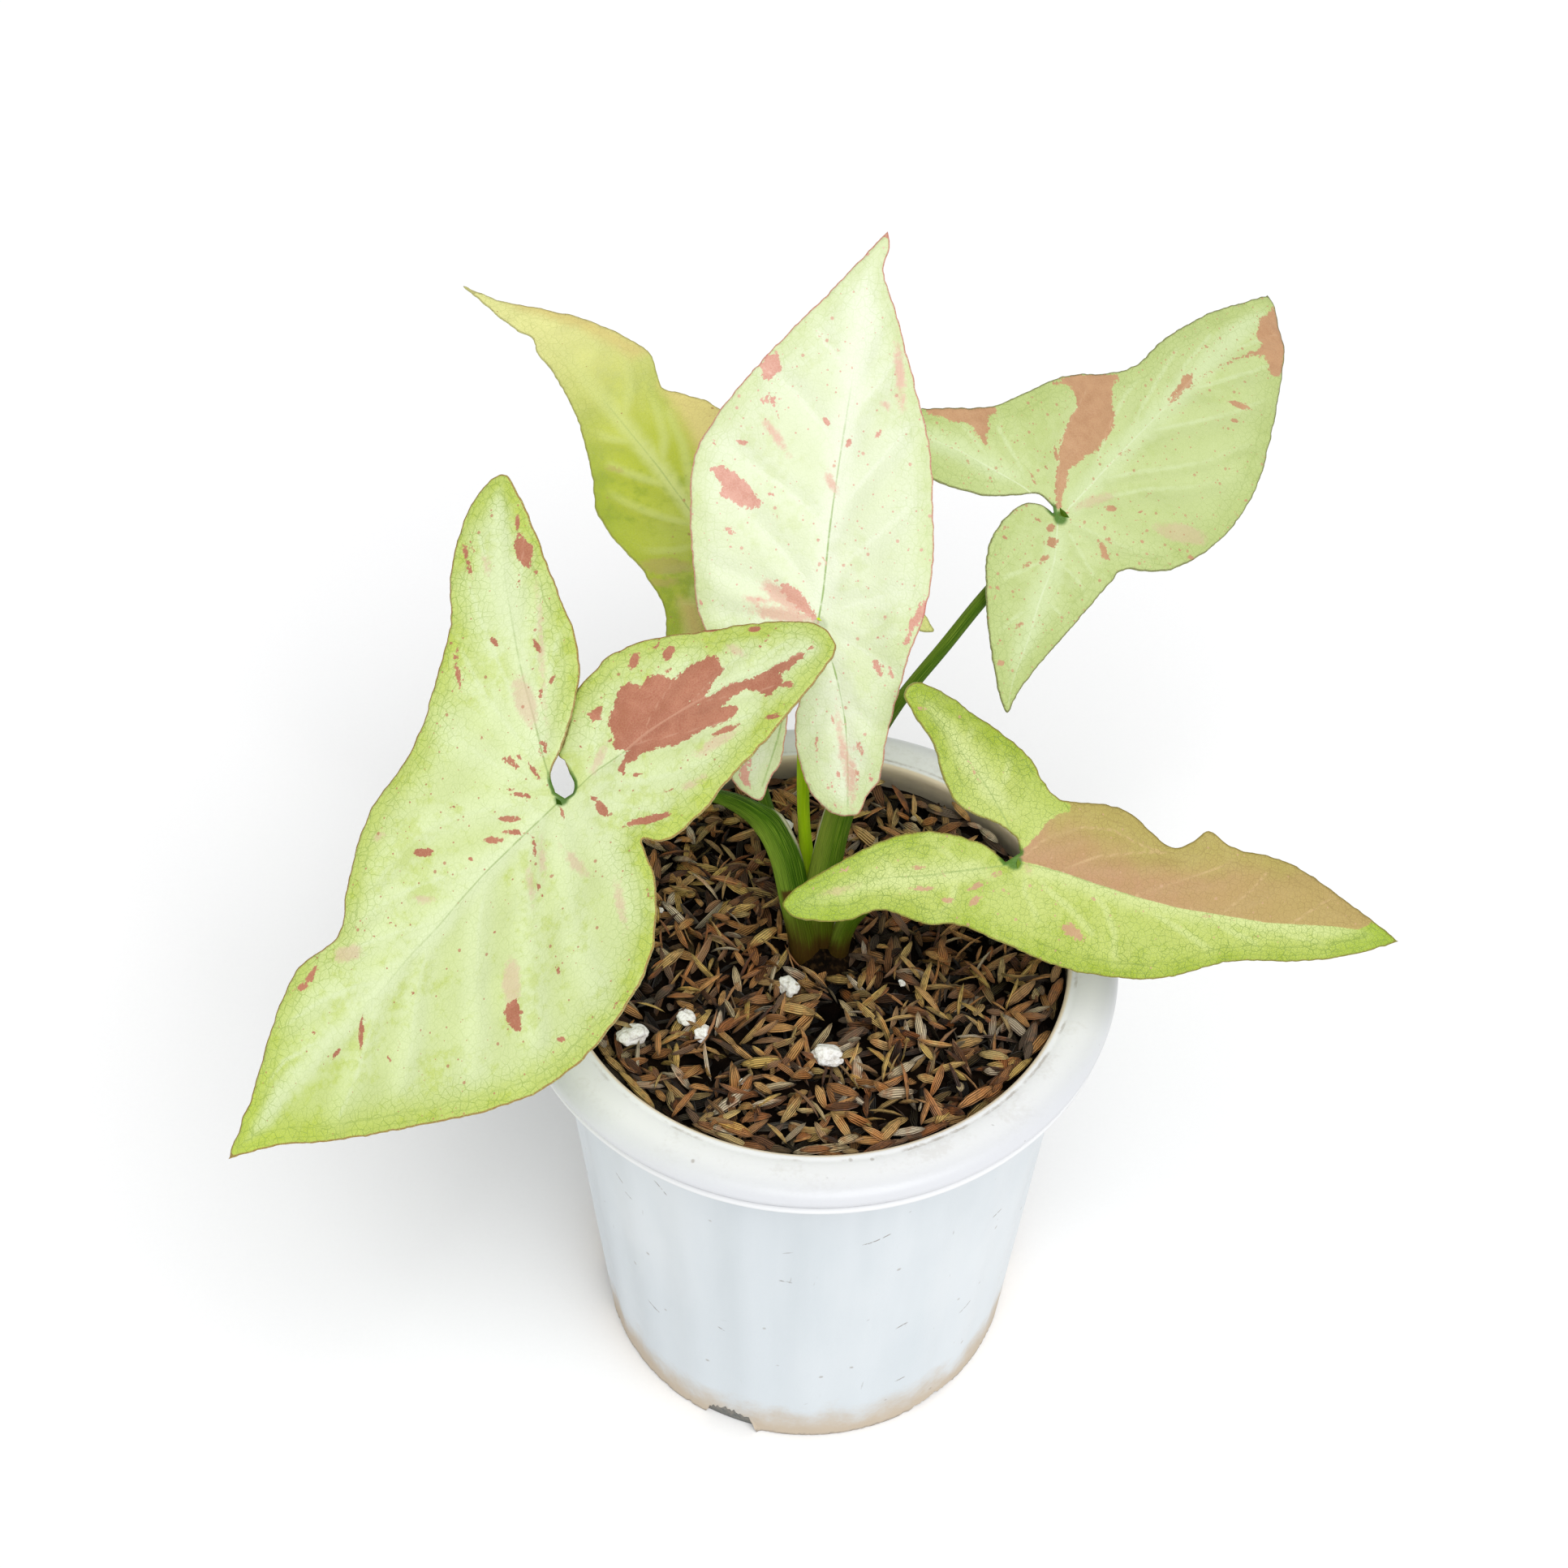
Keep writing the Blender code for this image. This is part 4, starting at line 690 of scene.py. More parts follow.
def leafFinish(leaf):
    look = leaf["look"]
    f = Finish("leaf_" + leaf["name"])
    uv = f.node("ShaderNodeUVMap", {"uv_map": "flat"})
    at = f.mapped(uv, Scale=(100, 100, 100), Location=(leaf["phase"] * 50, 0, 0))
    rim, rib, lateral, reach = (f.attribute(name) for name in ("rim", "rib", "lateral", "reach"))
    patch, fleck, ghost = (f.attribute(name) for name in ("patch", "fleck", "ghost"))
    tanPart, under = f.attribute("tanPart"), f.attribute("under")
    broad = f.noise(at, 0.045, 4, 0.6)
    medium = f.noise(at, 0.35, 4, 0.65)
    fine = f.noise(at, 2.6, 3, 0.7)
    grain = f.noise(at, 6, 2, 0.7)
    ragged = f.split(f.cells(at, 1.0, out="Color"), 0)
    ragged = ragged + f.split(f.cells(at, 2.3, out="Color"), 1) * 0.55 - 0.78

    # green: deeper towards the edge and in clouds, paler beside the veins
    edge = (rim + (medium - 0.5) * 7).fade(look["edgeWidth"], 0.5) * reach.fade(10, 28)
    cloud = (broad + (medium - 0.5) * 0.6).fade(look["cloud"], look["cloud"] + 0.2)
    wash = (edge * look["edgeAmount"] + cloud * look["cloudAmount"] + lateral.fade(1.2, 6) * 0.25).least(1)
    green = f.mix(wash, look["blade"], look["green"])
    tip = (reach + (medium - 0.5) * 14).fade(look["farFrom"], look["farTo"])
    # the lobes can take the far colour too: on the front right leaf it is the lobes' own deeper green, on the
    # back left leaf it is painted light that brightens a lower lobe lying in shade
    tip = tip.most((f.split(uv, 1) * -100 + (medium - 0.5) * 20).fade(22, 46) * look["lobeFar"])
    green = f.mix(tip * look["farAmount"], green, look["far"])
    green = f.mix((fine - 0.3) * 0.34, green, look["green"])
    halo = (rib + (medium - 0.5) * 2.5).fade(look["haloWidth"], 0.3) * 0.7
    halo = halo.most((lateral + (medium - 0.5) * 0.8).fade(look["veinWidth"], 0.1) * look["veinStrength"]
                     * rib.fade(30, 3))
    halo = halo.most((reach + (medium - 0.5) * 10).fade(22, 4) * look["heart"])
    green = f.mix(halo * rim.fade(1.5, 6) * (1 - tip * look["lobeFar"]), green, look["halo"])

    # the net of small veins, and the two that run along the edge
    bent = f.warped(at, 0.6, 0.9)
    coarse = f.cells(bent, look["netScale"], "DISTANCE_TO_EDGE", space="2D")
    small = f.cells(bent, look["netScale"] * 2.3, "DISTANCE_TO_EDGE", space="2D")
    nearEdge = (rim + (medium - 0.5) * 9).fade(look["netReach"], 1.5) * reach.fade(8, 22)
    net = coarse.fade(0.07, 0.02) * (look["netInner"] + (1 - look["netInner"]) * nearEdge)
    net = net.most(small.fade(0.09, 0.02) * (look["netInner"] * 0.7 + 0.4 * nearEdge))
    wander = (f.noise(at, 0.3, 2) - 0.5) * 1.8
    collecting = abs(rim + wander - 3.4).fade(0.26, 0.1)
    collecting = collecting.most(abs(rim + wander * 0.5 - 1.4).fade(0.2, 0.08) * 0.8)
    net = net.most(collecting * rim.fade(0.3, 0.8) * reach.fade(9, 24) * 0.6)
    net = net * look["net"] * (0.45 + 0.55 * medium.fade(0.36, 0.6))
    green = f.mix(net, green, look["netColour"])
    spine = rib.fade(0.34, 0.1) * look["spine"] * reach.fade(look["spineReach"], 8) * medium.fade(0.25, 0.5)
    green = f.mix(spine, green, look["spineColour"])
    green = f.mix(grain.fade(0.42, 0.75) * 0.26, green, look["speckle"])
    collar = (reach + (fine - 0.5) * 2).fade(look["collarReach"], look["collarReach"] * 0.55)
    collar = (collar * rim.fade(1.1, 0.5)).most(reach.fade(2.4, 1.3)) * look["collar"]

    # blush: soft pale ghosts, tan parts, then the sharp brown-pink patches and flecks
    pale = (ghost + (medium - 0.5) * 1.8 + ragged * 0.5).fade(0.6, -0.6)
    colour = f.mix(pale * look["ghostAmount"] * (0.6 + fine * 0.6), green, look["ghost"])
    tanMask = (tanPart + ragged * (rib.fade(1, 4) * 0.5 + 0.08)).fade(look["tanSoft"], -look["tanSoft"])
    outer = (rib + (broad - 0.5) * 16).fade(1, 15).most(reach.fade(20, 75) * 0.65)
    tanColour = f.mix(outer, look["tanInner"], look["tanOuter"])
    tanColour = f.mix((medium - 0.35) * 0.5, tanColour, look["tanOuter"])
    tanColour = f.mix(lateral.fade(0.5, 0.1) * 0.5, tanColour, look["tanVein"])
    tanColour = f.mix(net * 0.5, tanColour, look["tanNet"])
    tanColour = f.mix(grain.fade(0.45, 0.8) * 0.18, tanColour, look["tanVein"])
    tanColour = f.mix(fine.fade(0.5, 0.3) * 0.22, tanColour, look["tanNet"])
    colour = f.mix(tanMask, colour, tanColour)
    sharp = (patch + ragged * 0.75 + (fine - 0.5) * 0.2).fade(0.08, -0.08)
    sharp = sharp.most((fleck + ragged * 0.34 + (fine - 0.5) * 0.22).fade(0.08, -0.08))
    for scale, size, part in ((0.17, 0.1, 1), (0.4, 0.14, 0.7), (0.75, 0.16, 0.3)):
        share = look["dots"] * part
        spread = f.cells(at, scale, space="2D") + (fine - 0.5) * 0.09
        chance = f.split(f.cells(at, scale, out="Color", space="2D"), 0)
        sharp = sharp.most(spread.fade(size * 0.8, size * 0.5) * chance.fade(1 - share, 1.001 - share) * 0.8)
    dark = (fine * 0.6 + medium * 0.7 - 0.15 + (broad - 0.5)).fade(0.32, 0.68)
    blotch = f.mix(dark * 0.7, look["blotch"], look["blotchDark"])
    blotch = f.mix(grain.fade(0.5, 0.78) * 0.4, blotch, look["blotchVein"])
    blotch = f.mix(small.fade(0.1, 0.03) * 0.2, blotch, look["blotchVein"])
    blotch = f.mix(rib.fade(0.5, 0.2).most(lateral.fade(0.4, 0.12) * 0.8) * 0.75, blotch, look["blotchVein"])
    colour = f.mix(sharp * (0.86 + fine * 0.2), colour, blotch)
    line = (rim + (medium - 0.5) * 0.4).fade(0.42, 0.14) * look["lineStrength"] * fine.fade(0.28, 0.5)
    colour = f.mix(line, colour, look["line"])
    colour = f.mix(collar, colour, look["collarColour"])
    colour = f.mix(under * 0.55, colour, look["underside"])

    rough = 0.5 + (medium - 0.5) * 0.2 + under * 0.15
    relief = small.fade(0, 0.3) * 0.2 + coarse.fade(0, 0.2) * 0.15
    relief = relief + fine * 0.35 + medium * 0.5 - spine * 0.5
    return f.surface(colour, rough, relief, 0.0004, 0.35, Specular_IOR_Level=0.3)


commonLook = dict(
    edgeWidth=9, edgeAmount=0.6, cloud=0.48, cloudAmount=0.5, speckle=(236, 244, 206), haloWidth=5,
    veinWidth=0.9, veinStrength=0.55, net=0.6, netScale=0.52, netInner=0.25, netReach=13,
    spine=0.5, spineReach=75, spineColour=(132, 160, 74), heart=0.2,
    far=(200, 216, 110), farFrom=62, farTo=112, farAmount=0.5, lobeFar=0, ghostAmount=0.7, dots=0.22,
    tanInner=(192, 150, 112), tanOuter=(190, 176, 112), tanVein=(216, 178, 140), tanNet=(150, 110, 74),
    tanSoft=0.12, lineStrength=0.85, collar=0.9, collarReach=5, collarColour=(62, 112, 20),
    underside=(192, 208, 150))
leafFrontLeft["look"] = dict(
    commonLook, blade=(220, 233, 178), green=(188, 205, 86), halo=(224, 236, 190), far=(184, 205, 52),
    farAmount=0.8, heart=0.45, net=0.75, netColour=(132, 160, 50), spine=0.6, dots=0.11, collarReach=9,
    blotch=(190, 122, 96), blotchDark=(166, 94, 72), blotchVein=(206, 150, 124), ghost=(218, 188, 162),
    line=(158, 104, 62))
leafCentre["look"] = dict(
    commonLook, blade=(228, 236, 204), green=(210, 222, 166), halo=(237, 242, 220), farAmount=0.0,
    edgeWidth=6, haloWidth=6, veinStrength=0.5, net=0.4, netColour=(176, 198, 116), spine=0.85,
    spineColour=(136, 170, 78), blotch=(224, 166, 148), blotchDark=(204, 136, 118),
    blotchVein=(236, 196, 180), ghost=(226, 180, 162), ghostAmount=0.9, line=(206, 120, 112), collar=0.25)
leafBackRight["look"] = dict(
    commonLook, blade=(194, 208, 142), green=(179, 195, 116), halo=(210, 224, 174), far=(196, 212, 130),
    farAmount=0.25, netColour=(146, 166, 86), spineColour=(226, 236, 200), dots=0.4,
    blotch=(196, 150, 112), blotchDark=(176, 126, 92), blotchVein=(202, 162, 126), ghost=(204, 182, 146),
    line=(120, 116, 74))
leafFrontRight["look"] = dict(
    commonLook, blade=(192, 206, 104), green=(162, 184, 30), halo=(214, 225, 154), far=(156, 184, 24),
    farFrom=70, farTo=94, farAmount=0.85, lobeFar=0.75, edgeWidth=6, edgeAmount=0.5, veinWidth=1.4,
    veinStrength=0.5, net=0.9, netScale=0.66, netInner=0.6, netReach=16, netColour=(108, 136, 30),
    dots=0.08, tanInner=(190, 148, 108), tanOuter=(182, 168, 92), tanNet=(128, 98, 56),
    tanVein=(216, 184, 134), blotch=(204, 166, 128), blotchDark=(188, 146, 108),
    blotchVein=(218, 186, 150), ghost=(206, 186, 140), line=(140, 122, 60))
# back left leaf: lobeFar spreads the pale far colour over the lower lobe, painted light that lifts it out of
# the shade it lies in
leafBackLeft["look"] = dict(
    commonLook, blade=(184, 194, 38), green=(152, 170, 4), halo=(214, 222, 142), far=(236, 233, 156),
    farFrom=26, farTo=88, farAmount=0.95, lobeFar=0.85, cloudAmount=0.8, haloWidth=4, veinWidth=2.4,
    veinStrength=0.45, net=0.4, netColour=(146, 158, 52), dots=0.04, tanSoft=2.6,
    tanInner=(210, 188, 112), tanOuter=(222, 208, 128), tanVein=(226, 212, 144),
    blotch=(176, 136, 84), blotchDark=(160, 120, 70), blotchVein=(190, 150, 100), ghost=(184, 166, 96),
    line=(140, 124, 70), lineStrength=0.5)
# the two edges of the notch at the stalk slide over each other: line, lower side, push and drop in mm
leafFrontLeft["overlap"] = (
    ((8, -7.5), (9.5, -11), (12.5, -16), (15.5, -20.5)),
    ((-5, -5), (7.5, -7.2), (8.5, -9.8), (12, -15.8), (15, -20.3), (17.5, -24.5), (20, -35), (-12, -40)),
    (1.9, 1.1), 0.8)
for leaf in (leafFrontLeft, leafCentre, leafBackRight, leafFrontRight, leafBackLeft):
    unpackLeaf(leaf)
    buildLeaf(leaf, leafFinish(leaf))
    print("leaf", leaf["name"], "built")


# stalks: a sheath at the foot, then a round stalk up to the blade; the feet stand in one crown

stalkMesh = dict(step=1.6, sides=28, crownTop=152, joinAt=3, joinBelow=0.35, wingWidth=0.26)
crown = dict(x=2, y=6.8, sides=40, uvFrom=116, profile=(
    (102.6, 7), (108, 10.5), (118, 10.8), (126, 10.2), (130, 9.4), (133, 7.2), (134.5, 3.5)))
# each stalk's pale colour serves its light fibres and also a painted highlight down one side
stalks = dict(
    front_left=dict(
        leaf=leafFrontLeft, radii=(3.3, 3.2, 1.75), sheath=0.44, wing=(-14, 0.34), widen=1.04,
        path=((-2.8, 4, 116), (-2.8, 4, 134), (-5.6, 9.2, 147), (-8.3, 14.1, 157.5), (-12.1, 16.4, 165.5),
              (-17.6, 16.2, 172), (-24.6, 13.9, 178.5), (-32.9, 8.4, 186), (-43.6, 0.3, 194.5)),
        green=(80, 120, 4), dark=(36, 70, 0), pale=(150, 182, 62), foot=(84, 80, 8), scar=(31, 36)),
    centre=dict(
        leaf=leafCentre, radii=(2.4, 1.8, 1.5), sheath=0.3, wing=(180, 0.1), widen=1.0,
        path=((-0.2, 9.4, 116), (-0.2, 9.4, 134), (-1.4, 15.5, 146), (-3.1, 20.4, 160), (-3.7, 25.2, 176),
              (-3.4, 30.5, 191), (-2.2, 36, 203)),
        green=(188, 226, 2), dark=(142, 188, 0), pale=(214, 236, 60), foot=(100, 104, 10), scar=(0, 0)),
    back_left=dict(
        leaf=leafBackLeft, radii=(2.6, 1.9, 1.6), sheath=0.3, wing=(180, 0.15), widen=1.0,
        path=((-3.6, 11.8, 116), (-3.6, 11.8, 134), (-5, 14.4, 143), (-9.2, 21.8, 153.6),
              (-13.1, 27.1, 163.5), (-16.2, 35.9, 172.5), (-20.1, 50.1, 181.5), (-23.8, 66, 190)),
        green=(84, 122, 14), dark=(48, 82, 4), pale=(130, 158, 56), foot=(80, 80, 14), scar=(0, 0)),
    back_right=dict(
        leaf=leafBackRight, radii=(3.7, 3.1, 1.6), sheath=0.37, wing=(176, 0.26), widen=1.04,
        path=((2, 6.7, 116), (2, 6.7, 134), (1.5, 9.2, 147.5), (2.9, 12.7, 157), (4.6, 15.8, 166),
              (7.1, 19.6, 173.5), (11.4, 25.4, 181), (18.7, 35, 189), (29.8, 46.7, 197), (39.5, 56.9, 204)),
        green=(86, 124, 0), dark=(48, 82, 0), pale=(146, 164, 60), foot=(80, 78, 8), scar=(0, 0)),
    front_right=dict(
        leaf=leafFrontRight, radii=(3.2, 2.4, 1.9), sheath=0.3, wing=(180, 0.2), widen=1.0,
        path=((5.8, 4.2, 116), (5.8, 4.2, 134), (7.8, 5.4, 142), (11.9, 4.5, 150), (18.6, 0.9, 159),
              (27.4, -4.4, 169), (36.4, -8.4, 176.5)),
        green=(104, 138, 16), dark=(56, 92, 4), pale=(150, 176, 66), foot=(80, 82, 10), scar=(0, 0)),
)


# the stalk ends just under the blade, square to it
def stalkLine(stalk):
    leaf, v = stalk["leaf"], stalkMesh["joinAt"]
    across = bladePoint(leaf, 0.5, v) - bladePoint(leaf, -0.5, v)
    normal = across.cross(bladePoint(leaf, 0, v + 0.5) - bladePoint(leaf, 0, v - 0.5)).normalized()
    top = bladePoint(leaf, 0, v) - normal * stalkMesh["joinBelow"]
    path = [Vector(p) for p in stalk["path"]]
    path += [top - normal * 3 + (path[-1] - top).normalized() * 3, top]
    return smoothCurve(path, stalkMesh["step"])


# rings of the tube, each turned so that its front looks at the camera side
def stalkRings(stalk):
    line = stalkLine(stalk)
    along = [0.0]
    for a, b in zip(line, line[1:]):
        along.append(along[-1] + (b - a).length)
    foot, middle, end = stalk["radii"]
    wingTurn, wingSize = math.radians(stalk["wing"][0]), stalk["wing"][1]
    rings = []
    for i, point in enumerate(line):
        heading = (line[min(i + 1, len(line) - 1)] - line[max(i - 1, 0)]).normalized()
        side = heading.cross(Vector((0, -0.67, 0.74))).normalized()
        front = side.cross(heading).normalized() * -1
        share = along[i] / along[-1]
        if share < stalk["sheath"]:
            radius = foot + (middle - foot) * share / stalk["sheath"]
        else:
            radius = middle + (end - middle) * min(1, (share - stalk["sheath"]) / 0.13)
        sheathed = min(max((stalk["sheath"] + 0.05 - share) / 0.05, 0), 1) * min(1, share / 0.2)
        wide = 1 + (stalk["widen"] - 1) * sheathed
        flare = 1 + 0.35 * max(0, (share - 0.965) / 0.035)
        top = min(max((share - stalk["sheath"] + 0.16) / 0.12, 0), 1) * sheathed
        ring, dry = [], []
        for k in range(stalkMesh["sides"]):
            turn = 2 * math.pi * k / stalkMesh["sides"]
            apart = math.remainder(turn - wingTurn, 2 * math.pi)
            wing = bell(apart, stalkMesh["wingWidth"])
            r = radius * flare * (1 + wingSize * sheathed * wing)
            r *= 1 - 0.08 * bell(math.remainder(turn - math.pi / 2, 2 * math.pi), 0.5)
            ring.append(point + side * (math.cos(turn) * r * wide) + front * (math.sin(turn) * r / wide))
            dry.append(top * wing)
        rings.append((ring, along[i], [sheathed] * len(ring), dry))
    return line, rings


def tubeParts(rings, start=0):
    sides = stalkMesh["sides"]
    points, uv, sheathed, papery = [], [], [], []
    for ring, along, wrapped, dry in rings:
        points += ring
        uv += [(k / sides if k <= sides // 2 else 1 - k / sides, along / 100) for k in range(sides)]
        sheathed += wrapped
        papery += dry
    faces = ringFaces(start, len(rings), sides)
    for (ring, along, *_), turn in ((rings[0], -1), (rings[-1], 1)):
        base = start + len(points)
        points += ring
        uv += [(0, along / 100)] * sides
        sheathed += [0.0] * sides
        papery += [0.0] * sides
        faces.append(tuple(range(base, base + sides))[::turn])
    return points, faces, uv, sheathed, papery


def mixRings(low, high, share):
    ring = [a.lerp(b, share) for a, b in zip(low[0], high[0])]
    return ring, low[1] + (high[1] - low[1]) * share, *low[2:]


def stalkFinish(name, stalk):
    f = Finish("stalk_" + name)
    at = f.node("ShaderNodeUVMap", {"uv_map": "flat"})
    across, along = f.split(at, 0), f.split(at, 1) * 100
    sheathed, papery = f.attribute("sheathed"), f.attribute("papery")
    lines = f.noise(f.mapped(at, Scale=(46, 2.4, 1)), 1, 3, 0.6)
    fibres = f.noise(f.mapped(at, Scale=(170, 7, 1)), 1, 2, 0.6)
    cloud = f.noise(f.place((110, 110, 60)), 1, 3)
    colour = f.mix((lines - 0.28) * 1.5, stalk["dark"], stalk["green"])
    # painted highlight: the side of each stalk turned to the camera's left grows paler, most of all on the
    # sheath
    colour = f.mix(across.fade(0.2, 0.42) * (0.25 + sheathed * 0.5), colour, stalk["pale"])
    colour = f.mix(fibres.fade(0.52, 0.64) * 0.5, colour, stalk["pale"])
    colour = f.mix(fibres.fade(0.46, 0.38) * 0.6, colour, stalk["dark"])
    low = (along + (cloud - 0.5) * 12).fade(34, 18)
    colour = f.mix(low * 0.85, colour, stalk["foot"])
    brown = (along + (cloud - 0.5) * 18 + (lines - 0.5) * 8).fade(27, 19)
    colour = f.mix(brown * 0.8, colour, (66, 36, 14))
    dry = (papery + (cloud - 0.5) * 0.5).fade(0.45, 0.8)
    colour = f.mix(dry * 0.85, colour, f.mix(fibres, (190, 178, 140), (226, 224, 204)))
    if stalk["scar"][1]:
        middle = sum(stalk["scar"]) / 2
        scar = abs(along - middle + (cloud - 0.5) * 5).fade(2.6, 1.4) * abs(across - 0.3).fade(0.12, 0.05)
        colour = f.mix(scar * 0.9, colour, (78, 42, 14))
    return f.surface(colour, 0.6 + (cloud - 0.5) * 0.2, fibres * 0.5 + lines, 0.0005, 0.6,
                     Specular_IOR_Level=0.12)


def buildStalks():
    feet, faces, uv, slots, sheathed, papery = [], [], [], [], [], []
    finishes = {}
    for number, (name, stalk) in enumerate(stalks.items()):
        line, rings = stalkRings(stalk)
        finishes[name] = stalkFinish(name, stalk)
        cut = next(i for i, p in enumerate(line) if p.z > stalkMesh["crownTop"])
        middle = mixRings(rings[cut - 1], rings[cut],
                          (stalkMesh["crownTop"] - line[cut - 1].z) / (line[cut].z - line[cut - 1].z))
        parts = tubeParts(rings[:cut] + [middle], len(feet))
        slots += [number] * len(parts[1])
        for whole, part in zip((feet, faces, uv, sheathed, papery), parts):
            whole += part
        points, petioleFaces, *rest = tubeParts([middle] + rings[cut:])
        piece = meshObject("petiole_" + name, [p * mm for p in points], petioleFaces, finishes[name])
        addUv(piece.data, "flat", rest[0])
        addValues(piece.data, "sheathed", rest[1])
        addValues(piece.data, "papery", rest[2])
        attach(piece, "root")
        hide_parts("petiole_" + name)
    # the crown itself, lumpy and brown, mostly under the husks; its bark is painted nearly black as the shade
    # of the hollow that the stalks rise from
    sides, profile, base = crown["sides"], crown["profile"], len(feet)
    for z, radius in profile:
        for k in range(sides):
            turn = 2 * math.pi * k / sides
            r = radius * (1 + 0.08 * noise.noise(Vector((math.cos(turn) * 2, math.sin(turn) * 2, z * 0.15))))
            feet.append(Vector((crown["x"] + r * math.cos(turn), crown["y"] + r * math.sin(turn), z)))
            uv.append((k / sides, (z - crown["uvFrom"]) / 100))
    bottom, top = tuple(range(base, base + sides)), tuple(range(len(feet) - sides, len(feet)))
    barkInShade = ringFaces(base, len(profile), sides) + [bottom[::-1], top]
    faces += barkInShade
    slots += [len(stalks)] * len(barkInShade)
    f = Finish("crown")
    cloud, fibre = f.noise(f.place(), 260, 4), f.noise(f.place((900, 900, 120)), 1, 3)
    # painted shade: dark brown bark darkened nearly to black, as the hollow round the stalks' feet
    colour = f.mix(cloud.fade(0.35, 0.65), (9, 5, 2), (30, 19, 10))
    colour = f.mix(fibre.fade(0.5, 0.7) * 0.3, colour, (84, 62, 34))
    barkInShade = f.surface(colour, 0.85, fibre, 0.0006, 0.6, Specular_IOR_Level=0.05)
    piece = meshObject("crown", [p * mm for p in feet], faces, finishes["front_left"])
    for name in list(stalks)[1:]:
        piece.data.materials.append(finishes[name])
    piece.data.materials.append(barkInShade)
    piece.data.polygons.foreach_set("material_index", slots)
    addUv(piece.data, "flat", uv)
    addValues(piece.data, "sheathed", sheathed + [0.0] * (len(feet) - len(sheathed)))
    addValues(piece.data, "papery", papery + [0.0] * (len(feet) - len(papery)))
    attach(piece, "root")
    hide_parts("stem")


buildStalks()
print("stalks and crown built")


# compost: dark ground under a loose layer of rice husks, with crumbs of perlite

soil = dict(level=136.4, radius=61.3, sides=96, rings=40, under=3.4, skirt=14, dip=6.5, dipWidth=15,
            hollow=6, gap=(4, -15, 3.4, 8), dark=(6, 4, 3), light=(30, 20, 13))
# the inputs of the husk layer, in metres and radians where they have a unit
husks = {"Husks per square metre": 172000.0, "Lowest": -0.0036, "Highest": 0.0022, "Tilt": 0.85,
         "Smallest": 0.76, "Largest": 1.18, "Seed": 11, "Crown clearance": 0.0055, "Wall from": 0.052,
         "Wall to": 0.0575}
# length, width, thickness and bend in mm
huskForms = dict(huskWhole=(9.5, 2.5, 1.6, 0.35), huskSlim=(9.88, 1.8, 1.12, 0.8),
                 huskOpen=(8.74, 2.625, 0.72, 0.6), huskShort=(5.7, 2.125, 1.12, 0.2))
huskBed = dict(radius=59.2, rings=30)


def soilHeight(x, y):
    at = Vector((x, y, 0)) * mm
    heap = 1.4 * noise.noise(at / 0.024) + 0.6 * noise.noise((at + Vector((0, 0, 0.005))) / 0.009)
    away = math.hypot((x - crown["x"]) * 1.1, (y - crown["y"] + 7) * 0.8)
    x0, y0, wide, deep = soil["gap"]
    hollow = soil["hollow"] * math.exp(-(((x - x0) / wide) ** 2 + ((y - y0) / deep) ** 2))
    return soil["level"] + heap - soil["dip"] * math.exp(-((away / soil["dipWidth"]) ** 2)) - hollow


def soilDisc(name, lift, radius, rings, closed):
    sides = soil["sides"]
    points = [(0, 0, soilHeight(0, 0) + lift)]
    for i in range(1, rings + 1):
        for k in range(sides):
            turn = 2 * math.pi * k / sides
            x, y = radius * i / rings * math.cos(turn), radius * i / rings * math.sin(turn)
            points.append((x, y, soilHeight(x, y) + lift))
    if closed:
        points += [(x, y, soil["level"] - soil["skirt"]) for x, y, z in points[-sides:]]
        rings += 1
    faces = [(0, 1 + k, 1 + (k + 1) % sides) for k in range(sides)] + ringFaces(1, rings, sides, flip=True)
    if closed:
        faces.append(tuple(range(len(points) - sides, len(points)))[::-1])
    return meshObject(name, [Vector(p) * mm for p in points], faces, groundMaterial)


def groundFinish():
    f = Finish("compost")
    crumbs = f.cells(f.place(), 420)
    cloud = f.noise(f.place(), 110, 4)
    colour = f.mix(cloud.fade(0.4, 0.7) * 0.7 + crumbs * 0.4, soil["dark"], soil["light"])
    return f.surface(colour, 0.95, crumbs + cloud * 0.5, 0.0012, 0.9, Specular_IOR_Level=0.05)


huskTones = ((0.0, (42, 28, 20)), (0.1, (108, 72, 46)), (0.2, (178, 120, 76)), (0.34, (228, 160, 96)),
             (0.5, (248, 186, 112)), (0.66, (253, 208, 134)), (0.84, (254, 214, 118)),
             (0.94, (252, 234, 202)))


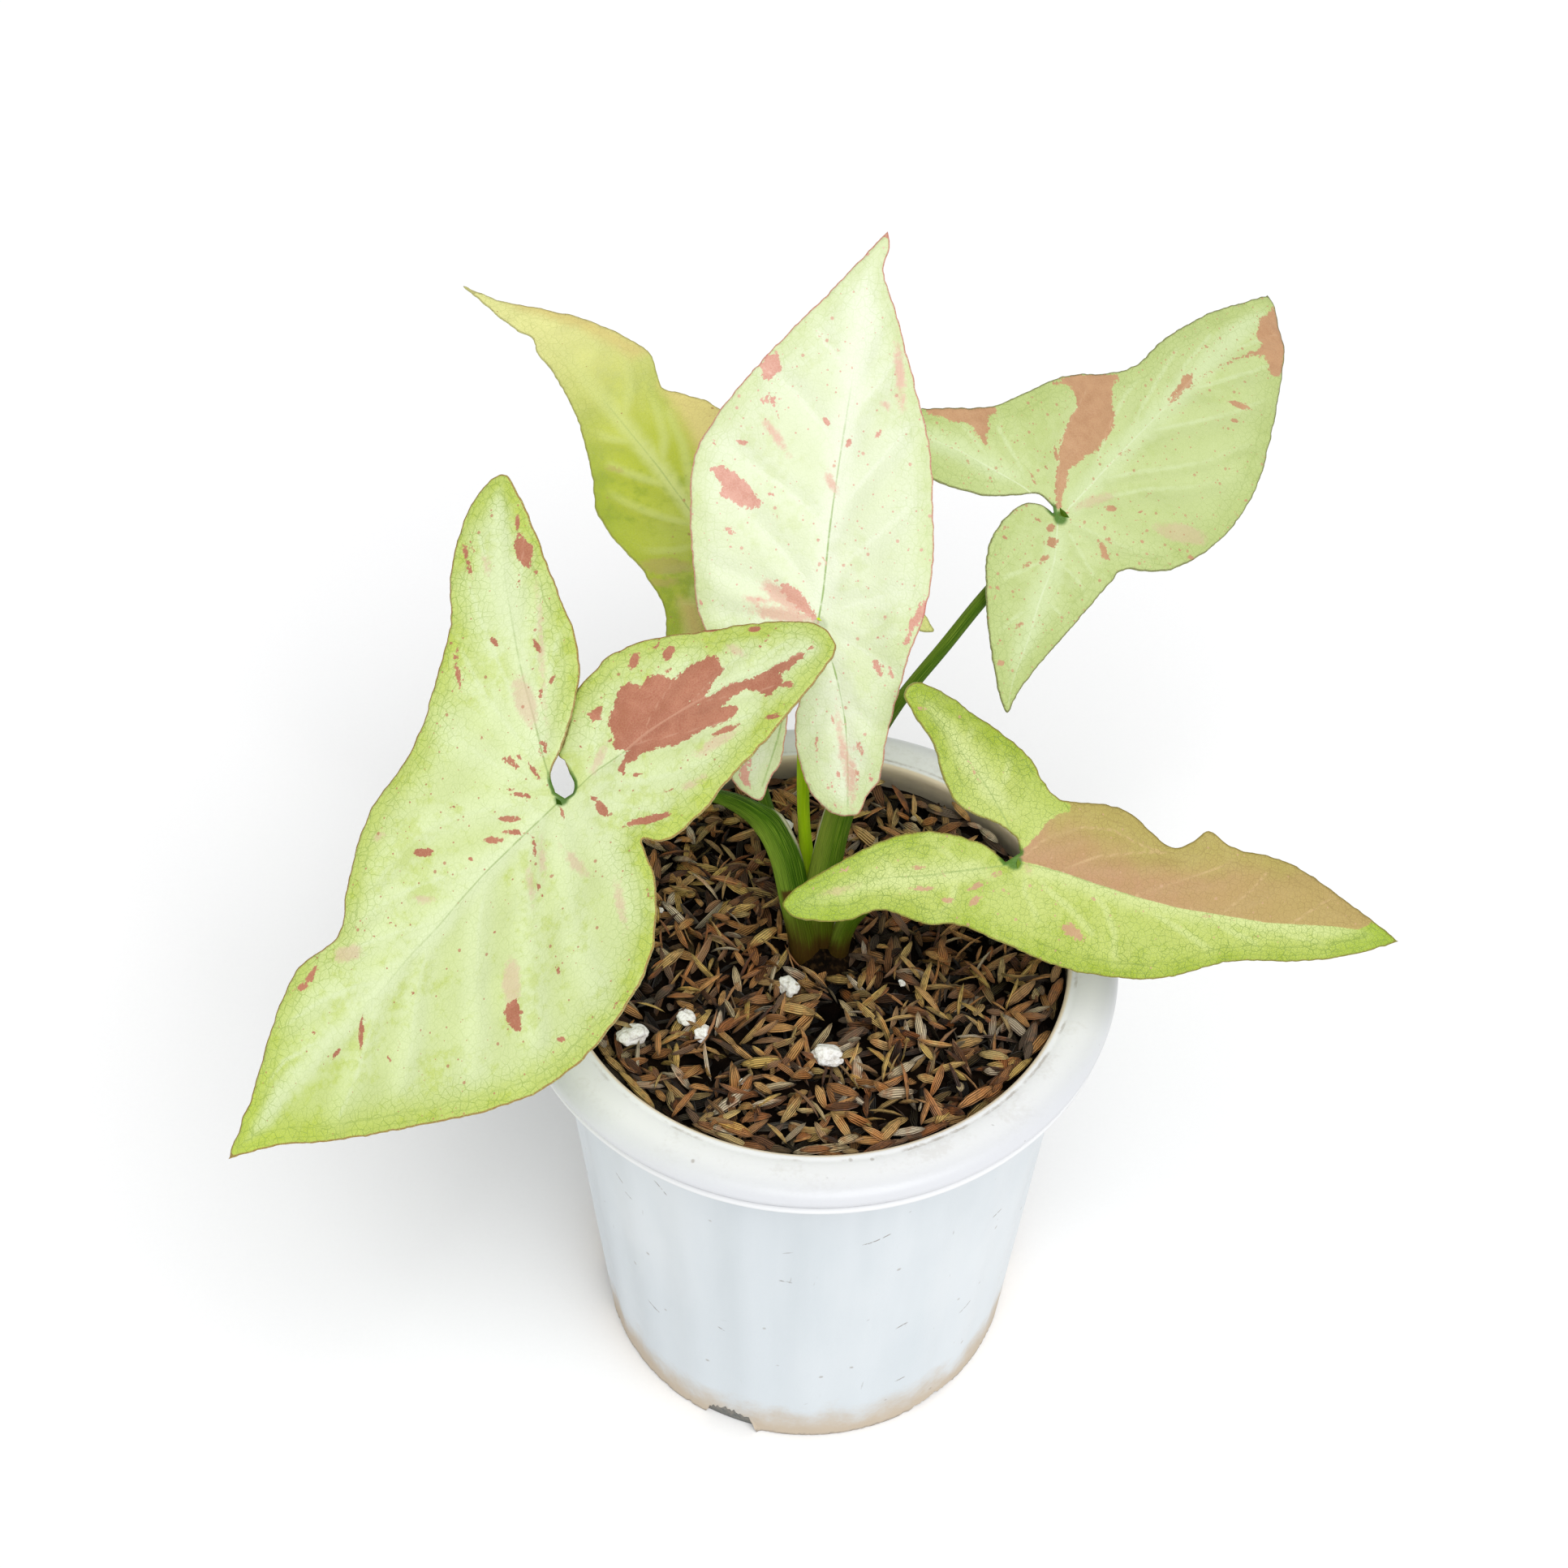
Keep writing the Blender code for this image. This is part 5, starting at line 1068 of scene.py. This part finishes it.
def huskFinish():
    f = Finish("riceHusk")
    at = f.node("ShaderNodeUVMap", {"uv_map": "husk"})
    across, along = f.split(at, 0), f.split(at, 1)
    tone, shade, sink = f.attribute("tone"), f.attribute("shade"), f.attribute("sink")
    colour = f.node("ShaderNodeValToRGB", {"stops": huskTones}, {0: tone})
    stripe = f.node("ShaderNodeMath", {"operation": "SINE"}, {0: across * 30})
    blot = f.noise(f.place(), 620, 3)
    rust = f.noise(f.place(), 240, 2)
    colour = f.mix(stripe.fade(0.1, 1) * 0.6, colour, (64, 36, 16))
    colour = f.mix(blot.fade(0.5, 0.68) * 0.4, colour, (72, 44, 26))
    colour = f.mix(rust.fade(0.5, 0.66) * 0.4, colour, (214, 126, 56))
    colour = f.mix(along.fade(0.22, 0.02).most(along.fade(0.8, 0.99)) * 0.4, colour, (66, 42, 24))
    colour = f.mix(shade.fade(0.68, 0.97) * 0.5, colour, (146, 128, 108))
    # painted shade: husks lying lower than the rest, and the layer where it dips below about 132 mm round the
    # stalks' feet, are darkened nearly to black
    deep = (f.split(f.place((1000, 1000, 1000)), 2) + (blot - 0.5) * 2).fade(132.4, 128.4)
    colour = f.mix(sink.fade(0.3, 0.82).most(deep) * 0.97, colour, (3, 2, 1))
    return f.surface(colour, 0.46 + shade * 0.2, stripe * 0.6 + blot * 0.5, 0.0005, 0.9,
                     Specular_IOR_Level=0.5)


# one husk: a pointed boat with a ridge, or a thinner open half of one, or a broken end
def huskShape(name, length, width, thickness, bend):
    stations = ((-0.86, 0.42), (-0.36, 0.95), (0.28, 1.0), (0.8, 0.5))
    section = ((1, 0), (0.62, 0.62), (-0.62, 0.66), (-1, 0), (-0.55, -0.4), (0.55, -0.4))
    points, faces, uv = [(-length / 2, 0, -bend)], [], [(0.5, 0)]
    sides = len(section)
    for x, wide in stations:
        for side, up in section:
            points.append((x * length / 2, side * width / 2 * wide, up * thickness / 2 * wide - bend * x * x))
            uv.append(((side + 1) / 2, (x + 1) / 2))
    points.append((length / 2, 0, -bend))
    uv.append((0.5, 1))
    last = len(points) - 1
    for k in range(sides):
        j = (k + 1) % sides
        faces += [(0, 1 + k, 1 + j), (last, last - sides + j, last - sides + k)]
    faces += ringFaces(1, len(stations), sides, flip=True)
    piece = meshObject(name, [Vector(p) * mm for p in points], faces, groundMaterial)
    addUv(piece.data, "husk", uv)
    return piece


def huskTree(shapes):
    tree = bpy.data.node_groups.new("huskLayer", "GeometryNodeTree")
    for side in ("OUTPUT", "INPUT"):
        tree.interface.new_socket("Geometry", in_out=side, socket_type="NodeSocketGeometry")
    for label, value in husks.items():
        kind = "NodeSocketInt" if isinstance(value, int) else "NodeSocketFloat"
        tree.interface.new_socket(label, in_out="INPUT", socket_type=kind)

    def node(kind, settings=None, sockets=None, out=0):
        return Wire(tree, addNode(tree, kind, settings, sockets).outputs[out])

    def chance(low, high, number):
        return node("FunctionNodeRandomValue", {"data_type": "FLOAT"},
                    {2: low, 3: high, "Seed": given["Seed"] + number}, 1)

    given = {s.name: Wire(tree, s) for s in addNode(tree, "NodeGroupInput").outputs if s.name}
    seed = given["Seed"]
    place = node("GeometryNodeInputPosition")
    fromCrown = node("ShaderNodeVectorMath", {"operation": "DISTANCE"}, {
        0: node("ShaderNodeVectorMath", {"operation": "MULTIPLY"}, {0: place, 1: (1, 1, 0)}),
        1: (crown["x"] * mm, crown["y"] * mm, 0)}, 1)
    points = node("GeometryNodeDistributePointsOnFaces", {"distribute_method": "RANDOM"}, {
        "Mesh": given["Geometry"], "Density": given["Husks per square metre"], "Seed": seed})
    lift = chance(given["Lowest"], given["Highest"], 1)
    x, y = (node("ShaderNodeSeparateXYZ", None, {0: place}, i) for i in (0, 1))
    x0, y0, wide, deep = (size * mm for size in soil["gap"])
    sideways, ahead = (x - x0) / wide, (y - y0) / deep
    fromGap = (sideways * sideways + ahead * ahead) ** 0.5 * given["Crown clearance"]
    free = node("FunctionNodeCompare", {"operation": "LESS_THAN", "data_type": "FLOAT"},
                {0: fromCrown.least(fromGap), 1: given["Crown clearance"]})
    points = node("GeometryNodeDeleteGeometry", {"domain": "POINT"}, {"Geometry": points, "Selection": free})
    points = node("GeometryNodeStoreNamedAttribute", {"data_type": "FLOAT", "domain": "POINT"}, {
        "Geometry": points, "Name": "lift", "Value": lift})
    saved = node("GeometryNodeInputNamedAttribute", {"data_type": "FLOAT"}, {"Name": "lift"})
    offset = node("ShaderNodeCombineXYZ", None, {2: saved})
    points = node("GeometryNodeSetPosition", None, {"Geometry": points, "Offset": offset})
    out = (x * x + y * y) ** 0.5
    wall = node("ShaderNodeMapRange", {"interpolation_type": "SMOOTHSTEP"}, {
        "Value": out, "From Min": given["Wall from"], "From Max": given["Wall to"]})
    around = node("ShaderNodeMath", {"operation": "ARCTAN2"}, {0: y, 1: x}) + math.pi / 2
    yaw = chance(-math.pi, math.pi, 2) * (1 - wall) + (around + chance(-0.35, 0.35, 3)) * wall
    tilt = given["Tilt"]
    lean, roll = chance(tilt * -1, tilt, 4), chance(tilt * -2.2, tilt * 2.2, 5)
    turn = node("ShaderNodeCombineXYZ", None, {0: roll * (1 - wall), 1: lean * (1 - wall * 0.6), 2: yaw})
    size = chance(given["Smallest"], given["Largest"], 6)
    forms = node("GeometryNodeCollectionInfo", {"transform_space": "ORIGINAL"}, {
        "Collection": shapes, "Separate Children": True, "Reset Children": True})
    which = node("FunctionNodeRandomValue", {"data_type": "INT"},
                 {4: 0, 5: len(shapes.objects) - 1, "Seed": seed + 7}, 2)
    laid = node("GeometryNodeInstanceOnPoints", None, {
        "Points": points, "Instance": forms, "Pick Instance": True, "Instance Index": which,
        "Rotation": turn, "Scale": size})
    # how far each husk is sunk, which the husk finish turns into painted shade
    sink = node("ShaderNodeMapRange", None, {
        "Value": saved, "From Min": given["Highest"], "From Max": given["Lowest"]})
    for label, value in (("tone", chance(0, 1, 8)), ("shade", chance(0, 1, 9)), ("sink", sink)):
        laid = node("GeometryNodeStoreNamedAttribute", {"data_type": "FLOAT", "domain": "INSTANCE"}, {
            "Geometry": laid, "Name": label, "Value": value})
    whole = node("GeometryNodeRealizeInstances", None, {"Geometry": laid})
    whole = node("GeometryNodeSetMaterial", None, {"Geometry": whole, "Material": huskMaterial})
    addNode(tree, "NodeGroupOutput", None, {0: whole})
    return tree


def layHusks():
    shapes = bpy.data.collections.new("huskShapes")
    for name, sizes in huskForms.items():
        shape = huskShape(name, *sizes)
        scene.collection.objects.unlink(shape)
        shapes.objects.link(shape)
    bed = soilDisc("huskBed", 0, huskBed["radius"], huskBed["rings"], False)
    tree = huskTree(shapes)
    layer = bed.modifiers.new("husks", "NODES")
    layer.node_group = tree
    for item in tree.interface.items_tree:
        if item.name in husks:
            layer[item.identifier] = husks[item.name]
    graph = bpy.context.evaluated_depsgraph_get()
    mesh = bpy.data.meshes.new_from_object(bed.evaluated_get(graph), preserve_all_data_layers=True,
                                           depsgraph=graph)
    bed.modifiers.remove(layer)
    piece = bpy.data.objects.new("riceHusks", mesh)
    scene.collection.objects.link(piece)
    bpy.data.objects.remove(bed)
    for shape in list(shapes.objects):
        bpy.data.objects.remove(shape)
    bpy.data.collections.remove(shapes)
    mesh.shade_smooth()
    return piece


# perlite: where each crumb lies, its length and its height in mm
crumbs = dict(lift=1.0, cuts=9, seed=4, lumps=(
    (-43, -27, 5.6, 4.0), (-30.5, -21.5, 4.2, 2.8), (-26.5, -26, 3.6, 2.6), (3.5, -31.5, 5.8, 4.6),
    (-6.5, -8, 4.6, 3.2), (43, 24, 3.6, 2.6), (-8, 40, 3.6, 2.6), (21, -9, 1.6, 1.2),
    (-17, -40, 1.2, 0.9), (30, 38, 1.4, 1.1), (-38, 12, 1.3, 1.0)))


def perliteFinish():
    f = Finish("perlite")
    grain = f.noise(f.place(), 900, 4, 0.7)
    pits = f.cells(f.place(), 1300)
    colour = f.mix(grain.fade(0.38, 0.55), (226, 221, 213), (252, 251, 248))
    colour = f.mix(pits.fade(0.25, 0.05) * 0.3, colour, (170, 160, 146))
    return f.surface(colour, 0.9, grain + pits * 0.6, 0.0005, 0.7)


def buildPerlite(material):
    points, faces = [], []
    draw = random.Random(crumbs["seed"])
    for number, (x, y, long, high) in enumerate(crumbs["lumps"]):
        bpy.ops.mesh.primitive_ico_sphere_add(subdivisions=4 if long > 2 else 3, radius=1)
        ball = bpy.context.object
        base = len(points)
        centre = Vector((x, y, soilHeight(x, y) + crumbs["lift"] + high * 0.35))
        turn = Matrix.Rotation(number * 2.1, 3, "Z")
        cuts = [(Vector([draw.gauss(0, 1) for _ in range(3)]).normalized(), draw.uniform(0.62, 0.9))
                for _ in range(crumbs["cuts"])]
        for vertex in ball.data.vertices:
            co = vertex.co.copy()
            for side, reach in cuts:
                co -= side * max(0, co.dot(side) - reach) * 0.9
            lump = 1.12 + 0.24 * noise.noise(co * 1.8 + Vector((number * 3, 0, 0)))
            lump += 0.06 * noise.noise(co * 7)
            shape = Vector((co.x * long * 0.62, co.y * long * 0.48, co.z * high * 0.5))
            points.append(centre + turn @ shape * lump)
        faces += [tuple(base + i for i in p.vertices) for p in ball.data.polygons]
        bpy.data.objects.remove(ball)
    return meshObject("perlite", [p * mm for p in points], faces, material)


groundMaterial = groundFinish()
huskMaterial = huskFinish()
compost = soilDisc("compost", -soil["under"], soil["radius"], soil["rings"], True)
for piece in (compost, layHusks(), buildPerlite(perliteFinish())):
    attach(piece, "root")
    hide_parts("soil")
print("compost, husks and perlite laid")


# pot: turned white plastic with shallow flutes, a rolled rim with a bead, and worn drain notches in the foot;
# sizes in mm, angles in degrees round the pot, and each notch has a share of the full height

pot = dict(segments=576, flutes=24, fluteDepth=0.55, fluteEnds=(3, 9, 116, 121), foot=55, taper=0.0735,
           floor=(5.5, 3), notches=(1, 0.18, 0.8, 1, 0.9, 1), firstNotch=-111, notchWidth=14.5,
           notchHeight=6.6, tooth=-103.6, chip=0.25)
potLining = ((52.7, 5.5), (54.6, 30), (56.7, 60), (58.9, 90))
potRim = ((61.45, 124), (61.5, 131), (61.5, 137), (61.4, 139.6), (61.7, 140.5), (62.6, 140.9), (63.5, 140.78),
          (64.4, 141), (66.5, 141.1), (69.6, 140.8), (71.9, 140.1), (73.2, 139), (73.7, 137.7),
          (73.3, 136.6), (72.6, 135.8), (72, 135.2), (72.2, 134.7), (72.7, 134.3), (72.95, 133.7),
          (72.6, 133), (71.2, 132.1), (68.6, 130.4), (66.4, 128), (65, 126), (64.3, 124.5))
# heights of the wall's lowest rows, then radius, height and the notches' reach in each row of the foot
lowRows = (9, 7.5, 6, 4.6, 3.3, 2.2, 1.2, 0.5)
footRows = ((54.7, 0.12, 1), (53.8, 0, 0.97), (53.7, 0, 0.03), (50.6, 0, 0), (50.1, 0.4, 0), (49.6, 3, 0))


def wallRadius(z):
    return pot["foot"] + pot["taper"] * z


# height of the worn notch above the floor at an angle round the foot, and how chipped the edge is there
def notchHeight(turn):
    notches = pot["notches"]
    apart = [math.remainder(turn - math.radians(pot["firstNotch"] + 360 / len(notches) * i), 2 * math.pi)
             for i in range(len(notches))]
    near = min(apart, key=abs)
    wear, torn = (noise.noise(Vector((math.cos(turn) * scale, math.sin(turn) * scale, layer)))
                  for scale, layer in ((60, 3), (17, 7)))
    across = near * pot["foot"] / (pot["notchWidth"] / 2) * (1 + 0.12 * torn)
    arch = notches[apart.index(near)] * pot["notchHeight"] * math.sqrt(max(0, 1 - across * across))
    ragged = 0.5 * wear + 0.2 if arch > 0.2 else 0
    return max(0, arch * (0.94 + 0.3 * wear) + ragged), max(0, wear * 0.5 + torn * 0.5)


# rows from the lining's foot over the rim and down the wall to the underside
def potRows():
    rows = [(r, z, "in", 0) for r, z in potLining]
    rows += [(p.x, p.y, "rim", 0) for p in smoothCurve([Vector((r, z, 0)) for r, z in potRim], 0.55)]
    rows += [(wallRadius(z), z, "wall", 0) for z in np.linspace(121, 11, 24)]
    rows += [(wallRadius(z), z, "wall", 1 - z / 10) for z in lowRows]
    return rows + [(r, z, "foot", share) for r, z, share in footRows]


def buildPot(material):
    rows, count = potRows(), pot["segments"]
    start, full, fading, end = pot["fluteEnds"]
    inner, under = pot["floor"]
    points, torn, lined = [(0, 0, inner)], [0.0], [1.0]
    for r, z, part, share in rows:
        for k in range(count):
            turn = 2 * math.pi * k / count
            notch, chip = notchHeight(turn)
            radius = r
            if part == "wall":
                fluted = np.clip([(z - start) / (full - start), (end - z) / (end - fading)], 0, 1).prod()
                radius -= fluted * pot["fluteDepth"] * (0.5 - 0.5 * math.cos(pot["flutes"] * turn))
                radius += 0.12 * noise.noise(Vector((math.cos(turn) * 3, math.sin(turn) * 3, z * 0.03)))
            apart = math.remainder(turn - math.radians(pot["tooth"]), 2 * math.pi) * pot["foot"]
            radius += (1.3 * bell(apart, 0.9) * max(0, 1 - z / 2.4) - 0.5 * chip) * share
            height = z + max(notch, pot["chip"] * chip) * share
            points.append((radius * math.cos(turn), radius * math.sin(turn), height))
            # marks the inner wall and foot seen through the worn notches, which the finish paints dark grey
            # as the shade there
            torn.append(float(part == "foot" and notch > 0.6 and 50 < r < 54))
            lined.append(float(part == "in" or (part == "rim" and r < 62.2)))
    last, base = len(points), len(points) - count
    points.append((0, 0, under))
    faces = ringFaces(1, len(rows), count, flip=True)
    for k in range(count):
        j = (k + 1) % count
        faces += [(0, 1 + k, 1 + j), (base + k, last, base + j)]
    piece = meshObject("pot", [Vector(p) * mm for p in points], faces, material)
    piece.data.set_sharp_from_angle(angle=math.radians(50))
    addValues(piece.data, "lining", lined + [0.0])
    addValues(piece.data, "torn", torn + [0.0])
    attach(piece, "root")
    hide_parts("pot")


# several of these colours are painted light: the darker lower wall, the rim's outer side, the groove under
# the rim, the lining's lower part and the inside of the worn notches are painted shade, and the bead is a
# painted highlight
potLook = dict(body=(229, 235, 239), bodyShade=(211, 219, 223), bodyPale=(236, 240, 242),
               bodyLowShade=(212, 220, 225), rim=(238, 239, 240), rimWear=(208, 204, 198), rimOuterShade=(217, 219, 223),
               bead=(242, 243, 244), groove=(178, 182, 186), lining=(233, 217, 192),
               liningLowShade=(180, 168, 150), scuff=(150, 146, 142), stroke=(124, 114, 104),
               dirt=(196, 176, 148), edge=(132, 126, 118), grime=(136, 120, 100), torn=(80, 89, 92))
# worn marks on the wall: angle round the pot, height, length, tilt
strokes = (
    (-125, 111, 5, -40), (-75.5, 104, 7.5, 26), (-95.5, 85, 3.6, -4), (-133, 43, 5.5, -35),
    (-45.5, 44, 5, 34), (-139, 99, 3.5, -20), (-136, 95, 3, -12), (-66, 54, 4, 30), (-64, 23, 3.5, 26),
    (-112, 52, 2.5, -30), (-40, 84, 5, -20), (-165, 66, 6, 14), (-10, 48, 5, -24), (30, 90, 6, 18),
    (74, 60, 7, -30), (120, 84, 5, 22), (160, 40, 6, -12))


def potFinish():
    f = Finish("whitePlastic")
    at = f.place((1000, 1000, 1000))
    x, y, z = (f.split(at, i) for i in (0, 1, 2))
    out = (x * x + y * y) ** 0.5
    turn = f.node("ShaderNodeMath", {"operation": "ARCTAN2"}, {0: y, 1: x})
    streak = f.noise(f.place((90, 90, 5)), 1, 3, 0.55)
    broad = f.noise(f.place((28, 28, 9)), 1, 3)
    fine = f.noise(at, 0.9, 3, 0.6)
    patchy = f.noise(at, 0.11, 4, 0.6)
    body = f.mix((streak - 0.3) * 1.1, potLook["bodyShade"], potLook["body"])
    body = f.mix(broad.fade(0.42, 0.7) * 0.5, body, potLook["bodyPale"])
    # painted shade: the wall darkens towards the bottom
    body = f.mix((z + (broad - 0.5) * 30).fade(80, 15) * 0.5, body, potLook["bodyLowShade"])
    rim = f.mix((patchy + (fine - 0.5) * 0.5).fade(0.5, 0.75) * 0.3, potLook["rim"], potLook["rimWear"])
    colour = f.mix(z.fade(129, 131), body, rim)
    # painted shade: the outer side of the rolled rim is greyer than its top
    colour = f.mix(out.fade(67, 73) * z.fade(129, 131) * 0.85, colour, potLook["rimOuterShade"])
    outside = out.fade(69, 71)
    # painted shadow: a grey line in the groove between the rim's roll and the bead
    groove = abs(z + (fine - 0.5) * 0.4 - 135.3).fade(0.7, 0.2) * outside
    colour = f.mix(groove * 0.7, colour, potLook["groove"])
    # painted highlight: a near-white line along the bead
    colour = f.mix(abs(z - 133.7).fade(1.1, 0.8) * outside, colour, potLook["bead"])
    # scuffs: short marks in three headings, kept to a few of their cells
    for heading, amount in ((0.5, 0.5), (1.9, 0.4), (2.8, 0.35)):
        turned = f.mapped(at, Rotation=(heading, heading * 0.6, heading))
        long = f.mapped(turned, Scale=(0.06, 0.6, 0.6))
        mark = f.cells(long, 0.55)
        pick = f.split(f.cells(long, 0.55, out="Color"), 0)
        mask = (mark + (fine - 0.5) * 0.1).fade(0.1, 0.03) * pick.fade(0.8, 0.82) * amount
        colour = f.mix(mask, colour, potLook["scuff"])
    girth = 58
    arc = turn * girth
    for angle, height, length, tilt in strokes:
        du, dv = arc - math.radians(angle) * girth, z - height
        c, s = math.cos(math.radians(tilt)), math.sin(math.radians(tilt))
        along, across = abs(du * c + dv * s), abs(dv * c - du * s + (fine - 0.5) * 0.6)
        mask = along.fade(length / 2, length / 2 - 0.8) * across.fade(0.34, 0.1) * fine.fade(0.34, 0.5)
        colour = f.mix(mask * 0.8 * out.fade(50, 54), colour, potLook["stroke"])
    # soil dust along the foot and in the lip's corner, and a darker line along the bottom edge; down the
    # lining a dust tint, painted darker lower down as shade inside the pot
    foot = (z + (patchy - 0.5) * 18 + (fine - 0.5) * 4 + (streak - 0.5) * 5).fade(19, 2.5)
    colour = f.mix(foot * 0.85, colour, potLook["dirt"])
    edge = (z + (fine - 0.5) * 2.4).fade(1.8, 0.2)
    colour = f.mix(edge * 0.75, colour, potLook["edge"])
    spots = f.cells(at, 0.16)
    seldom = f.split(f.cells(at, 0.16, out="Color"), 1).fade(0.72, 0.74)
    colour = f.mix((spots + (fine - 0.5) * 0.08).fade(0.12, 0.05) * seldom * 0.5, colour, potLook["grime"])
    lipLine = abs(out + (fine - 0.5) * 0.8 - 63.5).fade(0.5, 0.15) * z.fade(139, 140)
    colour = f.mix(lipLine * patchy.fade(0.44, 0.66) * 0.5, colour, potLook["grime"])
    # painted shade: the faces inside the worn notches are dark grey
    colour = f.mix(f.attribute("torn") * (0.75 + (fine - 0.5) * 0.8), colour, potLook["torn"])
    inside = f.attribute("lining")
    # painted shade: the lining darkens lower down, towards the soil
    lining = f.mix((z + (patchy - 0.5) * 6).fade(139.5, 134), potLook["lining"], potLook["liningLowShade"])
    colour = f.mix(inside, colour, lining)
    rough = 0.36 + (patchy - 0.5) * 0.25 + foot * 0.3
    return f.surface(colour, rough, fine * 0.5 + streak * 0.5, 0.0003, 0.35, Specular_IOR_Level=0.4)


buildPot(potFinish())
print("pot turned")
